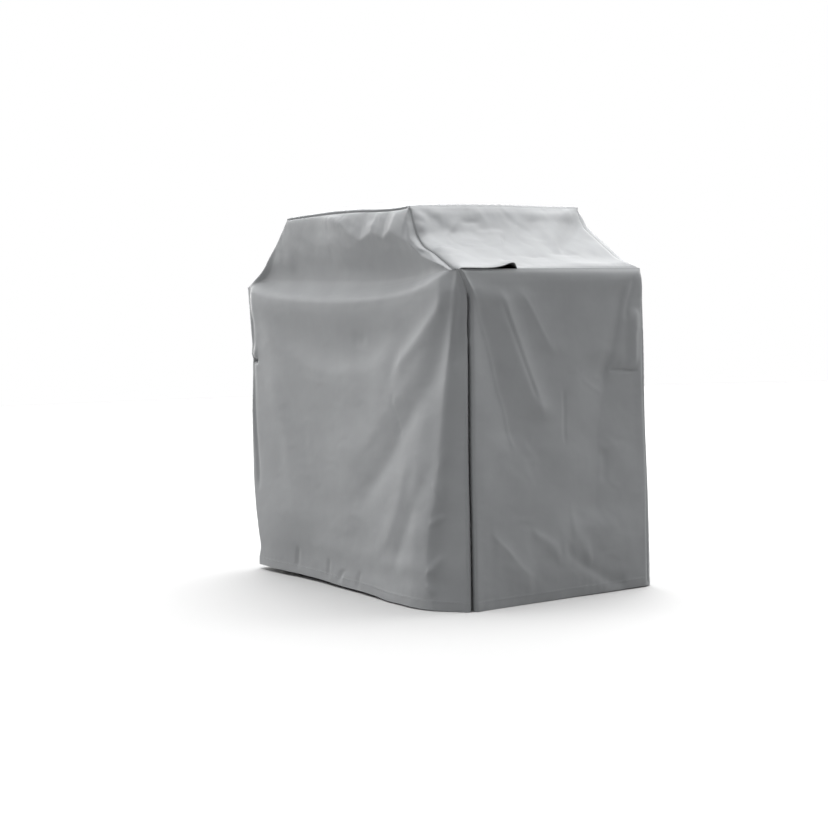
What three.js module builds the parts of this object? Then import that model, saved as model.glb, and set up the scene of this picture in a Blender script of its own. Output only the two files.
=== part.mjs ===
// A fitted patio cover hanging in its folds: a long box of cloth with a raised middle and sloping ends, in seven panels.
// Millimetres, Z up, X along the length, the long front wall faces -Y. The tables below count height from the ground.
import * as THREE from "three";

const HEIGHT = 1150; // ground to the top seams
const CROWN = 17; // rise of the top panel above its seams
const CLOTH = 2; // sheet thickness
const SEAM_INSET = 0.3; // each panel stops this far short of its seam line, three times as far at its corners
const PUFF = 3.5; // each panel swells this far beyond its seams
const PUFF_WIDTH = 7;
const RIDGE_BEND = 8; // the long walls turn at their corner ridges within this distance on both sides
const HIP_CURL = 6; // the slopes fall off this much towards their hip seams
const HIP_CURL_WIDTH = 15;
const FOLD_FADE = 42; // folds die out this far from a seam
const LIP = 8; // width of the turned edge above the shoulder

// Corner seams, hem to shoulder: z from the ground, and where the seam runs.
const CORNER_SEAMS = {
  front_right: [
    { z: 0, x: 620, y: -319 },
    { z: 120, x: 617, y: -315 },
    { z: 265, x: 615, y: -312 },
    { z: 410, x: 613, y: -309 },
    { z: 560, x: 611, y: -304 },
    { z: 700, x: 609, y: -299 },
    { z: 800, x: 609, y: -298 },
    { z: 880, x: 611, y: -298 },
    { z: 925, x: 614, y: -314 },
    { z: 954, x: 615, y: -330 },
  ],
  back_right: [
    { z: 3, x: 612, y: 330 },
    { z: 150, x: 618, y: 326 },
    { z: 330, x: 620, y: 328 },
    { z: 520, x: 617, y: 326 },
    { z: 700, x: 618, y: 325 },
    { z: 850, x: 620, y: 327 },
    { z: 925, x: 620, y: 328 },
    { z: 950, x: 611, y: 327 },
  ],
  back_left: [
    { z: 12, x: -607, y: 322 },
    { z: 170, x: -612, y: 318 },
    { z: 380, x: -610, y: 312 },
    { z: 600, x: -606, y: 309 },
    { z: 790, x: -608, y: 306 },
    { z: 890, x: -612, y: 312 },
    { z: 946, x: -615, y: 329 },
  ],
  front_left: [
    { z: 22, x: -606, y: -304 },
    { z: 70, x: -598, y: -302 },
    { z: 190, x: -612, y: -303 },
    { z: 400, x: -618, y: -302 },
    { z: 600, x: -611, y: -304 },
    { z: 700, x: -604, y: -306 },
    { z: 800, x: -608, y: -306 },
    { z: 890, x: -614, y: -314 },
    { z: 940, x: -616, y: -328 },
  ],
};

// Hip seams, shoulder to top corner: up is the share of the way.
const HIP_SEAMS = {
  front_right: [
    { up: 0, x: 615, y: -330, z: 954 },
    { up: 0.1, x: 587, y: -329, z: 955 },
    { up: 0.25, x: 542, y: -328, z: 977 },
    { up: 0.42, x: 488, y: -326, z: 1004 },
    { up: 0.58, x: 441, y: -325, z: 1023 },
    { up: 0.7, x: 407, y: -323, z: 1050 },
    { up: 0.82, x: 386, y: -322, z: 1086 },
    { up: 0.92, x: 369, y: -319, z: 1117 },
    { up: 1, x: 356, y: -316, z: 1144 },
  ],
  back_right: [
    { up: 0, x: 611, y: 327, z: 950 },
    { up: 0.12, x: 585, y: 318, z: 960 },
    { up: 0.28, x: 546, y: 302, z: 978 },
    { up: 0.46, x: 494, y: 299, z: 1013 },
    { up: 0.64, x: 442, y: 299, z: 1047 },
    { up: 0.82, x: 391, y: 300, z: 1083 },
    { up: 0.93, x: 358, y: 309, z: 1122 },
    { up: 1, x: 342, y: 316, z: 1147 },
  ],
  back_left: [
    { up: 0, x: -615, y: 329, z: 946 },
    { up: 0.14, x: -580, y: 328, z: 957 },
    { up: 0.34, x: -520, y: 326, z: 984 },
    { up: 0.56, x: -462, y: 324, z: 1024 },
    { up: 0.78, x: -404, y: 321, z: 1084 },
    { up: 1, x: -352, y: 316, z: 1149 },
  ],
  front_left: [
    { up: 0, x: -616, y: -328, z: 940 },
    { up: 0.14, x: -574, y: -327, z: 961 },
    { up: 0.33, x: -517, y: -325, z: 992 },
    { up: 0.52, x: -472, y: -324, z: 1031 },
    { up: 0.72, x: -424, y: -322, z: 1072 },
    { up: 0.87, x: -387, y: -319, z: 1113 },
    { up: 1, x: -353, y: -316, z: 1153 },
  ],
};

// Soft vertical ridges beside the corner seams of the two long walls: share of the wall height, x, y.
const RIDGES = {
  front_right: [
    { h: 0, x: 534, y: -388 },
    { h: 0.03, x: 526, y: -388 },
    { h: 0.075, x: 511, y: -387 },
    { h: 0.115, x: 509, y: -385 },
    { h: 0.16, x: 504, y: -381 },
    { h: 0.22, x: 511, y: -377 },
    { h: 0.275, x: 518, y: -372 },
    { h: 0.32, x: 531, y: -368 },
    { h: 0.42, x: 543, y: -361 },
    { h: 0.505, x: 551, y: -355 },
    { h: 0.62, x: 563, y: -348 },
    { h: 0.74, x: 575, y: -340 },
    { h: 0.83, x: 588, y: -335 },
    { h: 0.92, x: 602, y: -331 },
    { h: 1, x: 607, y: -331 },
  ],
  back_right: [
    { h: 0, x: 596, y: 347 },
    { h: 0.2, x: 604, y: 341 },
    { h: 0.5, x: 602, y: 336 },
    { h: 0.8, x: 607, y: 334 },
    { h: 1, x: 603, y: 328 },
  ],
  back_left: [
    { h: 0, x: -538, y: 378 },
    { h: 0.22, x: -548, y: 366 },
    { h: 0.48, x: -560, y: 350 },
    { h: 0.75, x: -580, y: 338 },
    { h: 1, x: -607, y: 330 },
  ],
  front_left: [
    { h: 0, x: -586, y: -332 },
    { h: 0.03, x: -589, y: -330 },
    { h: 0.065, x: -578, y: -331 },
    { h: 0.12, x: -588, y: -332 },
    { h: 0.2, x: -601, y: -332 },
    { h: 0.32, x: -611, y: -330 },
    { h: 0.45, x: -612, y: -329 },
    { h: 0.6, x: -607, y: -329 },
    { h: 0.72, x: -597, y: -330 },
    { h: 0.78, x: -594, y: -330 },
    { h: 0.86, x: -600, y: -329 },
    { h: 1, x: -608, y: -329 },
  ],
};

// How far each long wall hangs out at its hem, by x.
const HEM_FLARE = {
  front: [
    { x: -640, out: 0 },
    { x: -560, out: 8 },
    { x: -480, out: 12 },
    { x: -400, out: 12 },
    { x: -298, out: 11 },
    { x: -180, out: 16 },
    { x: -35, out: 27 },
    { x: 102, out: 39 },
    { x: 207, out: 51 },
    { x: 308, out: 63 },
    { x: 398, out: 70 },
    { x: 454, out: 73 },
    { x: 524, out: 58 },
    { x: 640, out: 0 },
  ],
  back: [
    { x: -640, out: 0 },
    { x: -538, out: 46 },
    { x: -460, out: 60 },
    { x: -330, out: 44 },
    { x: -190, out: 22 },
    { x: -40, out: 34 },
    { x: 110, out: 12 },
    { x: 260, out: 28 },
    { x: 400, out: 16 },
    { x: 520, out: 24 },
    { x: 640, out: 0 },
  ],
};

// Folds: each runs along its line, from end to end of it, and stands out (or dips in) by out.
// Its half widths are before (left of it, or below) and after, and keen 1 gives the flank on that side a keen crest,
// 0 a round one and less a flat one; fade softens the ends.
const FRONT_FOLDS = [
  {
    name: "hollow above the roll",
    way: "along", out: -15, before: 30, after: 88, keen: [0.5, 0], fade: 60,
    line: [
      [-604, 958], [-547, 964], [-380, 957], [-187, 947], [0, 939], [193, 935], [381, 941], [500, 948],
      [606, 957],
    ],
  },
  {
    name: "roll at shoulder height",
    way: "along", out: 17, before: 100, after: 30, keen: [0, 0.2], fade: 60,
    line: [
      [-606, 940], [-550, 922], [-350, 893], [-200, 883], [-38, 877], [193, 876], [380, 889],
      [500, 914], [606, 952],
    ],
  },
  {
    name: "second swag",
    way: "along", out: 8, before: 110, after: 44, keen: [0, 0], fade: 130,
    line: [
      [-560, 850], [-428, 765], [-305, 706], [-147, 662], [7, 652], [106, 656], [202, 672], [340, 735],
    ],
  },
  {
    name: "second swag by the near corner",
    way: "along", out: 8, before: 34, after: 26, keen: [0.3, 0.2], fade: 70,
    line: [[250, 655], [310, 686], [386, 738], [461, 786], [530, 838], [582, 890], [608, 944]],
  },
  {
    name: "drop right of the swag",
    way: "down", out: 4, before: 75, after: 38, keen: [0, 0.2], fade: 130,
    line: [
      [0, 330], [100, 420], [200, 500], [275, 556], [352, 612], [420, 672], [478, 742], [538, 832],
      [588, 910],
    ],
  },
  {
    name: "diagonal valley",
    way: "down", out: -7, before: 42, after: 44, keen: [0.2, 0], fade: 120,
    line: [
      [60, 230], [150, 300], [230, 370], [300, 430], [350, 490], [396, 540], [452, 590], [504, 650],
      [541, 715], [573, 800], [597, 890],
    ],
  },
  {
    name: "band beside the corner ridge",
    way: "down", out: 4, before: 32, after: 18, keen: [0, 0], fade: 90,
    line: [
      [528, 10], [513, 70], [509, 108], [505, 150], [516, 261], [530, 303], [543, 396], [551, 480],
      [564, 592], [575, 703], [590, 786], [603, 868],
    ],
  },
  {
    name: "lower ridge",
    way: "down", out: 4, before: 40, after: 26, keen: [0.1, 0.3], fade: 80,
    line: [[205, 105], [270, 165], [318, 232], [352, 290], [385, 390], [398, 450]],
  },
  {
    name: "lower valley",
    way: "down", out: -4, before: 26, after: 34, keen: [0.1, 0.1], fade: 80,
    line: [[335, 70], [355, 150], [390, 215], [430, 280], [470, 345], [500, 420]],
  },
  {
    name: "left light band",
    way: "down", out: 5, before: 55, after: 90, keen: [0, 0], fade: 120,
    line: [[-238, 100], [-268, 148], [-315, 261], [-350, 371], [-372, 500], [-414, 590], [-470, 720]],
  },
  {
    name: "left edge hollow",
    way: "down", out: -6, before: 9, after: 15, keen: [0.2, 0.2], fade: 60,
    line: [[-570, 260], [-578, 360], [-590, 540], [-592, 640], [-588, 710], [-585, 800], [-592, 880]],
  },
  {
    name: "left flap",
    way: "along", out: 6, before: 9, after: 24, keen: [0.2, 0], fade: 14,
    line: [[-612, 724], [-590, 722], [-556, 718]],
  },
  {
    name: "slanting swell",
    way: "down", out: 4, before: 60, after: 75, keen: [0, 0], fade: 50,
    line: [[62, 965], [40, 985], [-20, 1040], [-90, 1105]],
  },
  {
    name: "slack at the left",
    way: "along", out: 5, before: 34, after: 60, keen: [0.4, 0], fade: 60,
    line: [[-600, 1010], [-480, 1014], [-400, 1016], [-290, 1006]],
  },
  {
    name: "dent at the hem",
    way: "down", out: -3, before: 9, after: 12, keen: [0.2, 0.2], fade: 30,
    line: [[-322, 20], [-320, 60], [-312, 110]],
  },
  {
    name: "second dent at the hem",
    way: "down", out: -3, before: 11, after: 9, keen: [0.2, 0.2], fade: 26,
    line: [[-108, 10], [-104, 50], [-96, 92]],
  },
  {
    name: "third dent at the hem",
    way: "down", out: -2.5, before: 13, after: 10, keen: [0.2, 0.2], fade: 22,
    line: [[-34, 10], [-14, 44], [12, 66]],
  },
  {
    name: "fourth dent at the hem",
    way: "down", out: -2.5, before: 12, after: 12, keen: [0.2, 0.2], fade: 22,
    line: [[96, 0], [100, 34], [112, 74]],
  },
];
const BACK_FOLDS = [
  {
    name: "hollow above the roll",
    way: "along", out: -11, before: 28, after: 88, keen: [0.5, 0], fade: 190,
    line: [[-600, 960], [-380, 952], [-120, 936], [140, 940], [380, 956], [600, 966]],
  },
  {
    name: "roll at shoulder height",
    way: "along", out: 10, before: 100, after: 28, keen: [0, 0], fade: 120,
    line: [[-606, 946], [-400, 906], [-160, 886], [120, 890], [360, 912], [600, 946]],
  },
  {
    name: "second swag",
    way: "along", out: 6, before: 90, after: 42, keen: [0, 0], fade: 120,
    line: [[-590, 930], [-430, 812], [-240, 742], [0, 720], [260, 760], [480, 850]],
  },
  {
    name: "drop from the corner",
    way: "along", out: 6, before: 34, after: 50, keen: [0.4, 0], fade: 90,
    line: [[-600, 948], [-470, 850], [-380, 790], [-250, 715], [-120, 680]],
  },
  {
    name: "diagonal valley",
    way: "down", out: -7, before: 44, after: 36, keen: [0, 0.2], fade: 140,
    line: [[-70, 300], [-210, 480], [-330, 620], [-430, 740], [-540, 880]],
  },
  {
    name: "long soft ridge",
    way: "down", out: 6, before: 60, after: 34, keen: [0, 0.3], fade: 150,
    line: [[-20, 30], [10, 220], [40, 420], [90, 620]],
  },
  {
    name: "long soft valley",
    way: "down", out: -6, before: 34, after: 60, keen: [0.2, 0], fade: 140,
    line: [[150, 20], [170, 240], [220, 460], [330, 680], [470, 840]],
  },
  {
    name: "right ridge",
    way: "down", out: 6, before: 26, after: 60, keen: [0.4, 0], fade: 120,
    line: [[330, 10], [350, 200], [400, 420], [470, 640]],
  },
  {
    name: "left hem ridge",
    way: "down", out: 5, before: 24, after: 44, keen: [0.4, 0], fade: 90,
    line: [[-330, 10], [-350, 160], [-390, 330]],
  },
  {
    name: "left hem valley",
    way: "down", out: -5, before: 36, after: 24, keen: [0.2, 0.2], fade: 90,
    line: [[-430, 0], [-448, 150], [-480, 330]],
  },
  {
    name: "belly under the top seam",
    way: "along", out: 8, before: 60, after: 60, keen: [0.5, 0.1], fade: 60,
    line: [[-420, 1030], [-330, 1062], [-250, 1088], [-160, 1070], [-60, 1100], [60, 1118]],
  },
  {
    name: "dent at the hem",
    way: "down", out: -3, before: 11, after: 9, keen: [0.2, 0.2], fade: 30,
    line: [[60, 10], [66, 60], [80, 110]],
  },
];
const RIGHT_END_FOLDS = [
  {
    name: "trough beside the near corner",
    way: "down", out: -7, before: 44, after: 50, keen: [0.6, 0.7], fade: 70,
    line: [
      [-150, 430], [-168, 469], [-188, 561], [-206, 614], [-226, 699], [-249, 774], [-264, 816],
      [-284, 890],
    ],
  },
  {
    name: "ridge from the near corner",
    way: "down", out: 10, before: 52, after: 30, keen: [0.7, 0.7], fade: 60,
    line: [
      [-40, 505], [-56, 547], [-74, 586], [-96, 636], [-114, 683], [-131, 729], [-146, 767],
      [-164, 815], [-182, 866], [-215, 915],
    ],
  },
  {
    name: "third ridge",
    way: "down", out: 4, before: 34, after: 26, keen: [0.5, 0.8], fade: 50,
    line: [[12, 690], [-12, 718], [-32, 745], [-57, 789], [-89, 843], [-121, 888], [-147, 915]],
  },
  {
    name: "soft upright valley",
    way: "down", out: -10, before: 84, after: 78, keen: [0.1, 0.9], fade: 80,
    line: [
      [136, 190], [140, 314], [152, 396], [152, 476], [170, 558], [186, 629], [196, 680], [208, 720],
    ],
  },
  {
    name: "upper end of the valley",
    way: "down", out: -6, before: 32, after: 12, keen: [0, 0.7], fade: 60,
    line: [[176, 590], [195, 672], [219, 748], [236, 825], [252, 885], [284, 928]],
  },
  {
    name: "pleat beside the valley",
    way: "down", out: -3, before: 9, after: 9, keen: [0.5, 0.5], fade: 26,
    line: [[259, 790], [265, 835], [281, 879], [301, 934]],
  },
  {
    name: "fold beside the pocket",
    way: "down", out: 7, before: 18, after: 12, keen: [0.3, 0.6], fade: 18,
    line: [[292, 660], [293, 720], [294, 770], [300, 822]],
  },
  {
    name: "small diagonal",
    way: "down", out: 2.4, before: 8, after: 8, keen: [0.5, 0.5], fade: 14,
    line: [[320, 602], [313, 640], [292, 662]],
  },
  {
    name: "lower ridge",
    way: "along", out: 3, before: 50, after: 13, keen: [0.3, 0.8], fade: 34,
    line: [[-258, 228], [-229, 193], [-191, 159], [-166, 128], [-139, 99], [-95, 68]],
  },
  {
    name: "short ridge",
    way: "along", out: 3, before: 20, after: 14, keen: [0.5, 0.1], fade: 26,
    line: [[-112, 206], [-95, 196], [-54, 172], [-21, 146], [4, 120]],
  },
  {
    name: "third lower ridge",
    way: "along", out: 2.6, before: 20, after: 22, keen: [0.2, 0.2], fade: 24,
    line: [[30, 232], [50, 192], [64, 172], [91, 138], [120, 100]],
  },
  {
    name: "lower valley",
    way: "along", out: -3, before: 14, after: 20, keen: [0.3, 0.1], fade: 26,
    line: [[10, 150], [24, 135], [61, 104], [117, 70], [188, 30], [250, 16]],
  },
  {
    name: "dent at the right",
    way: "down", out: -2.4, before: 12, after: 14, keen: [0, 0], fade: 26,
    line: [[170, 320], [173, 380], [171, 430]],
  },
  {
    name: "near edge swell",
    way: "down", out: 3, before: 30, after: 50, keen: [0, 0], fade: 140,
    line: [[-256, 20], [-250, 250], [-246, 480], [-256, 640]],
  },
];
const LEFT_END_FOLDS = [
  {
    name: "ridge from the front corner",
    way: "down", out: 5, before: 56, after: 30, keen: [0.7, 0.5], fade: 70,
    line: [[-90, 420], [-130, 580], [-176, 740], [-240, 900]],
  },
  {
    name: "trough beside the front corner",
    way: "down", out: -3, before: 40, after: 40, keen: [0.6, 0.6], fade: 70,
    line: [[-170, 400], [-206, 580], [-246, 740], [-296, 900]],
  },
  {
    name: "ridge from the back corner",
    way: "down", out: 6, before: 28, after: 50, keen: [0.5, 0.7], fade: 70,
    line: [[130, 380], [178, 560], [232, 730], [290, 900]],
  },
  {
    name: "middle valley",
    way: "down", out: -6, before: 40, after: 46, keen: [0.1, 0.3], fade: 120,
    line: [[20, 120], [0, 340], [-30, 560], [-60, 800]],
  },
  {
    name: "hem ridge",
    way: "down", out: 4, before: 30, after: 40, keen: [0.5, 0], fade: 90,
    line: [[-110, 0], [-100, 130], [-70, 290]],
  },
  {
    name: "hem ridge at the back",
    way: "down", out: 4, before: 24, after: 42, keen: [0.5, 0], fade: 80,
    line: [[150, 0], [140, 120], [110, 260]],
  },
  {
    name: "slack under the shoulder",
    way: "along", out: -4, before: 40, after: 26, keen: [0, 0], fade: 90,
    line: [[-260, 860], [-60, 836], [140, 842], [270, 872]],
  },
  {
    name: "lower diagonal",
    way: "along", out: 3, before: 40, after: 14, keen: [0.3, 0.8], fade: 34,
    line: [[90, 60], [150, 110], [210, 180], [262, 250]],
  },
];
// On the slopes: y, then millimetres up the slope.
const RIGHT_SLOPE_FOLDS = [
  {
    name: "hollow across the slope",
    way: "along", out: -4, before: 90, after: 78, keen: [0, 0], fade: 120,
    line: [[-320, 150], [-160, 146], [0, 136], [160, 130], [320, 124]],
  },
  {
    name: "facet by the front seam",
    way: "down", out: 4, before: 16, after: 50, keen: [0.7, 0.1], fade: 40,
    line: [[-322, 90], [-325, 150], [-314, 206], [-302, 242], [-304, 280], [-318, 336]],
  },
  {
    name: "fold from the front corner",
    way: "along", out: -4, before: 34, after: 20, keen: [0.2, 0.6], fade: 40,
    line: [[-302, 348], [-275, 317], [-245, 292], [-215, 258], [-180, 210]],
  },
  {
    name: "curved ridge to the shoulder corner",
    way: "down", out: 3, before: 44, after: 26, keen: [0, 0.5], fade: 50,
    line: [[-268, 50], [-251, 107], [-245, 148], [-249, 192], [-264, 235]],
  },
  {
    name: "ridge below the back corner",
    way: "along", out: 8, before: 30, after: 60, keen: [0.9, 0], fade: 40,
    line: [[70, 142], [102, 172], [135, 216], [168, 256], [215, 296], [262, 330], [300, 352]],
  },
  {
    name: "valley below the back corner",
    way: "along", out: -8, before: 26, after: 30, keen: [0.8, 0.6], fade: 40,
    line: [[88, 122], [139, 160], [184, 196], [232, 236], [276, 284], [312, 322]],
  },
];
const LEFT_SLOPE_FOLDS = [
  {
    name: "hollow across the slope",
    way: "along", out: -9, before: 78, after: 78, keen: [0, 0], fade: 120,
    line: [[-320, 150], [0, 170], [320, 156]],
  },
  {
    name: "ridge below the front corner",
    way: "along", out: 6, before: 24, after: 50, keen: [0.4, 0], fade: 50,
    line: [[-304, 344], [-240, 290], [-160, 210], [-90, 140]],
  },
  {
    name: "valley below the front corner",
    way: "along", out: -6, before: 44, after: 26, keen: [0, 0.4], fade: 50,
    line: [[-326, 318], [-260, 258], [-190, 180], [-110, 102]],
  },
  {
    name: "middle ripple",
    way: "along", out: 4, before: 26, after: 20, keen: [0.6, 0.2], fade: 40,
    line: [[-60, 218], [20, 245], [110, 224]],
  },
  {
    name: "lower ripple",
    way: "along", out: -3, before: 21, after: 21, keen: [0.4, 0.4], fade: 40,
    line: [[40, 82], [130, 102], [220, 88]],
  },
  {
    name: "fold from the back corner",
    way: "along", out: -5, before: 26, after: 20, keen: [0.2, 0.6], fade: 40,
    line: [[170, 230], [215, 262], [250, 300], [300, 346]],
  },
];
// The belly of the front under its top and hip seams: by x the height of its jagged edge, above which the cloth is
// drawn straight to the seam, and of its crest, below which it falls away softly.
const BELLY = [
  { x: -70, edge: 1146, crest: 1146 },
  { x: 8, edge: 1132, crest: 1122 },
  { x: 47, edge: 1099, crest: 1108 },
  { x: 125, edge: 1060, crest: 1090 },
  { x: 192, edge: 1095, crest: 1084 },
  { x: 254, edge: 1061, crest: 1080 },
  { x: 306, edge: 1094, crest: 1077 },
  { x: 330, edge: 1067, crest: 1072 },
  { x: 386, edge: 1048, crest: 1050 },
  { x: 394, edge: 1014, crest: 1040 },
  { x: 447, edge: 998, crest: 1010 },
  { x: 505, edge: 980, crest: 986 },
  { x: 566, edge: 962, crest: 965 },
];
const BELLY_OUT = 17;
const BELLY_DROP = 74;
// The back panel wraps over the edge of the right slope before it turns down: share of the hip, distance.
const BACK_WRAP = [
  { up: 0, out: 0 },
  { up: 0.08, out: 7 },
  { up: 0.25, out: 25 },
  { up: 0.5, out: 28 },
  { up: 0.8, out: 24 },
  { up: 0.94, out: 9 },
  { up: 1, out: 0 },
];
// Loose edge of the right slope over the end wall beside the near corner: y, how far it lifts and stands out.
const VENT_EDGE = [
  { y: -330, lift: 0, out: 0 },
  { y: -322, lift: 3.2, out: 3 },
  { y: -300, lift: 3.4, out: 4 },
  { y: -215, lift: 4, out: 5 },
  { y: -180, lift: 9, out: 6 },
  { y: -150, lift: 17, out: 7 },
  { y: -138, lift: 15, out: 6 },
  { y: -126, lift: 0, out: 0 },
];

// Sag of the four top seams, by share of the way along X or Y.
const TOP_SAG = [
  { across: 0, front: 0, back: 0, right: 0, left: 0 },
  { across: 0.22, front: 3, back: 2, right: 4, left: 3 },
  { across: 0.4, front: 4.5, back: 5, right: 5, left: 5 },
  { across: 0.6, front: 2.3, back: 4, right: 4, left: 6 },
  { across: 0.75, front: -2.3, back: 1, right: 1, left: 4 },
  { across: 0.9, front: -3.5, back: -1, right: 0, left: 2 },
  { across: 1, front: 0, back: 0, right: 0, left: 0 },
];
// Crown of the top panel, as shares of its rise.
const CROWN_SHAPE = [
  { across: 0, length: 0, depth: 0 },
  { across: 0.06, length: 0.25, depth: 0.4 },
  { across: 0.16, length: 0.6, depth: 0.85 },
  { across: 0.32, length: 0.95, depth: 1 },
  { across: 0.45, length: 1, depth: 1 },
  { across: 0.6, length: 0.85, depth: 1 },
  { across: 0.75, length: 0.55, depth: 0.85 },
  { across: 0.9, length: 0.2, depth: 0.5 },
  { across: 1, length: 0, depth: 0 },
];
const TOP_FOLDS = [
  {
    name: "soft ridge from the left front",
    way: "along", out: 4, before: 60, after: 40, keen: [0, 0.4], fade: 120,
    line: [[-340, -300], [-150, -180], [60, -110], [240, -60]],
  },
  {
    name: "dip in the middle",
    way: "along", out: -5, before: 70, after: 80, keen: [0, 0], fade: 120,
    line: [[-200, 60], [0, 40], [220, 80]],
  },
  {
    name: "crease from the right front",
    way: "down", out: 3, before: 26, after: 44, keen: [0.6, 0], fade: 60,
    line: [[330, -300], [250, -180], [190, -60]],
  },
  {
    name: "crease from the back",
    way: "down", out: 3, before: 40, after: 22, keen: [0, 0.6], fade: 60,
    line: [[-90, 60], [-140, 180], [-170, 300]],
  },
];
const SIDES = {
  front: { from: "front_left", to: "front_right", outward: -1, folds: FRONT_FOLDS, seed: 1 },
  back: { from: "back_right", to: "back_left", outward: 1, folds: BACK_FOLDS, seed: 2 },
  right: {
    from: "front_right", to: "back_right", outward: 1, folds: RIGHT_END_FOLDS, slope: RIGHT_SLOPE_FOLDS, seed: 3,
  },
  left: {
    from: "back_left", to: "front_left", outward: -1, folds: LEFT_END_FOLDS, slope: LEFT_SLOPE_FOLDS, seed: 4,
  },
};
const ROW_SAG = 44; // the rows of the long walls sag with the roll between the shoulder corners
const NEAR_GROOVE = 8; // extra depth of the corner seam between the front and right panels
const HEM_WIDTH = 0.029; // hem, as a share of the wall height
const HEM_CLOTH = 3.4; // doubled cloth at the hem

// Where the rows and columns of the sheets lie, as shares of the wall height, of the hips and of the width.
const WALL_ROWS = [
  ...[0, 0.029, 0.036, 0.08, 0.14, 0.2, 0.26, 0.32, 0.39, 0.46, 0.53],
  ...[0.6, 0.67, 0.725, 0.755, 0.79, 0.84, 0.885, 0.925, 0.958, 0.983, 1],
];
const HIP_ROWS = [0.05, 0.12, 0.2, 0.3, 0.41, 0.53, 0.66, 0.79, 0.91, 0.975, 1];
const LONG_ROWS = [...WALL_ROWS, ...HIP_ROWS.map((up) => 1 + up)];
const FACE_STEPS = 23;
const LONG_COLUMNS = [
  ...[-1, -0.72, -0.36],
  ...Array.from({ length: FACE_STEPS + 1 }, (_, i) => i / FACE_STEPS).map((s) => s * (1.25 - 0.25 * s)),
  ...[1.25, 1.58, 1.92, 2],
];
const END_COLUMNS = [
  ...[0, 0.012, 0.045, 0.09, 0.14, 0.19, 0.24, 0.27, 0.295, 0.32, 0.37],
  ...[0.44, 0.51, 0.58, 0.66, 0.74, 0.81, 0.87, 0.92, 0.962, 0.988, 1],
];
const LEFT_COLUMNS = END_COLUMNS.map((across) => 1 - across).reverse(); // the left end runs from back to front

const mix = (a, b, t) => a + (b - a) * t;
const clamp01 = (t) => Math.min(1, Math.max(0, t));
const smooth = (t) => clamp01(t) ** 2 * (3 - 2 * clamp01(t));

// Smooth curve through points (t, value): cubic pieces whose slopes are the mean of the neighbouring chords.
function curve(ts, vs, t) {
  const last = ts.length - 1;
  if (t <= ts[0]) return vs[0];
  if (t >= ts[last]) return vs[last];
  let i = 0;
  while (t > ts[i + 1]) i += 1;
  const chord = (k) => (vs[k + 1] - vs[k]) / (ts[k + 1] - ts[k]);
  const here = chord(i);
  const start = i > 0 ? (chord(i - 1) + here) / 2 : here;
  const end = i < last - 1 ? (chord(i + 1) + here) / 2 : here;
  const span = ts[i + 1] - ts[i];
  const s = (t - ts[i]) / span;
  return (
    (2 * s ** 3 - 3 * s ** 2 + 1) * vs[i] +
    (s ** 3 - 2 * s ** 2 + s) * span * start +
    (3 * s ** 2 - 2 * s ** 3) * vs[i + 1] +
    (s ** 3 - s ** 2) * span * end
  );
}
const column = (rows, key) => rows.map((row) => row[key]);
const read = (rows, key, name, t) => curve(column(rows, key), column(rows, name), t);

// A fold's height at the place (across, up) of its panel.
function foldAt(fold, across, up) {
  const turned = fold.way === "down";
  const along = turned ? up : across;
  const side = turned ? across : up;
  const ts = fold.line.map((point) => point[turned ? 1 : 0]);
  const vs = fold.line.map((point) => point[turned ? 0 : 1]);
  const first = ts[0];
  const last = ts[ts.length - 1];
  if (along <= first || along >= last) return 0;
  const slope = (curve(ts, vs, along + 2) - curve(ts, vs, along - 2)) / 4;
  const off = (side - curve(ts, vs, along)) / Math.hypot(1, slope);
  const half = off < 0 ? fold.before : fold.after;
  const ends = smooth((along - first) / fold.fade) * smooth((last - along) / fold.fade);
  const keen = fold.keen[off < 0 ? 0 : 1];
  return fold.out * Math.exp(-(Math.abs(off / half) ** (2 - 0.9 * keen))) * ends;
}

// Gentle unevenness of hanging cloth, one to two millimetres.
const uneven = (a, b, seed) =>
  0.9 * Math.sin(a / 61 + 1.7 * seed + 0.8 * Math.sin(b / 97 + seed)) +
  0.7 * Math.sin(b / 73 - a / 118 + 2.3 * seed) +
  0.5 * Math.sin(a / 29 + b / 41 + 3.1 * seed);
const foldsAt = (folds, across, up, seed) =>
  folds.reduce((sum, fold) => sum + foldAt(fold, across, up), uneven(across, up, seed));
// Swell and folds both fall to nothing at a seam that lies edge millimetres away.
const offSeam = (edge) => 1 - Math.exp(-((edge / PUFF_WIDTH) ** 2));
const relief = (edge, folds) => PUFF * offSeam(edge) + folds * smooth(edge / FOLD_FADE);
// The near corner seam lies in a deeper groove than the others.
const groove = (edge) => NEAR_GROOVE * (1 - Math.exp(-((edge / 7) ** 2))) * Math.exp(-((edge / 60) ** 2));

// Points of the seam lines.
function cornerSeam(corner, h) {
  const rows = CORNER_SEAMS[corner];
  const z = mix(rows[0].z, rows[rows.length - 1].z, h);
  return new THREE.Vector3(read(rows, "z", "x", z), read(rows, "z", "y", z), z);
}
function hipSeam(corner, up) {
  const rows = HIP_SEAMS[corner];
  return new THREE.Vector3(read(rows, "up", "x", up), read(rows, "up", "y", up), read(rows, "up", "z", up));
}
function topSeam(side, across) {
  const { from, to } = {
    front: SIDES.front,
    back: { from: "back_left", to: "back_right" },
    right: SIDES.right,
    left: { from: "front_left", to: "back_left" },
  }[side];
  const point = new THREE.Vector3().lerpVectors(hipSeam(from, 1), hipSeam(to, 1), across);
  point.z += read(TOP_SAG, "across", side, across);
  return point;
}

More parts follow.
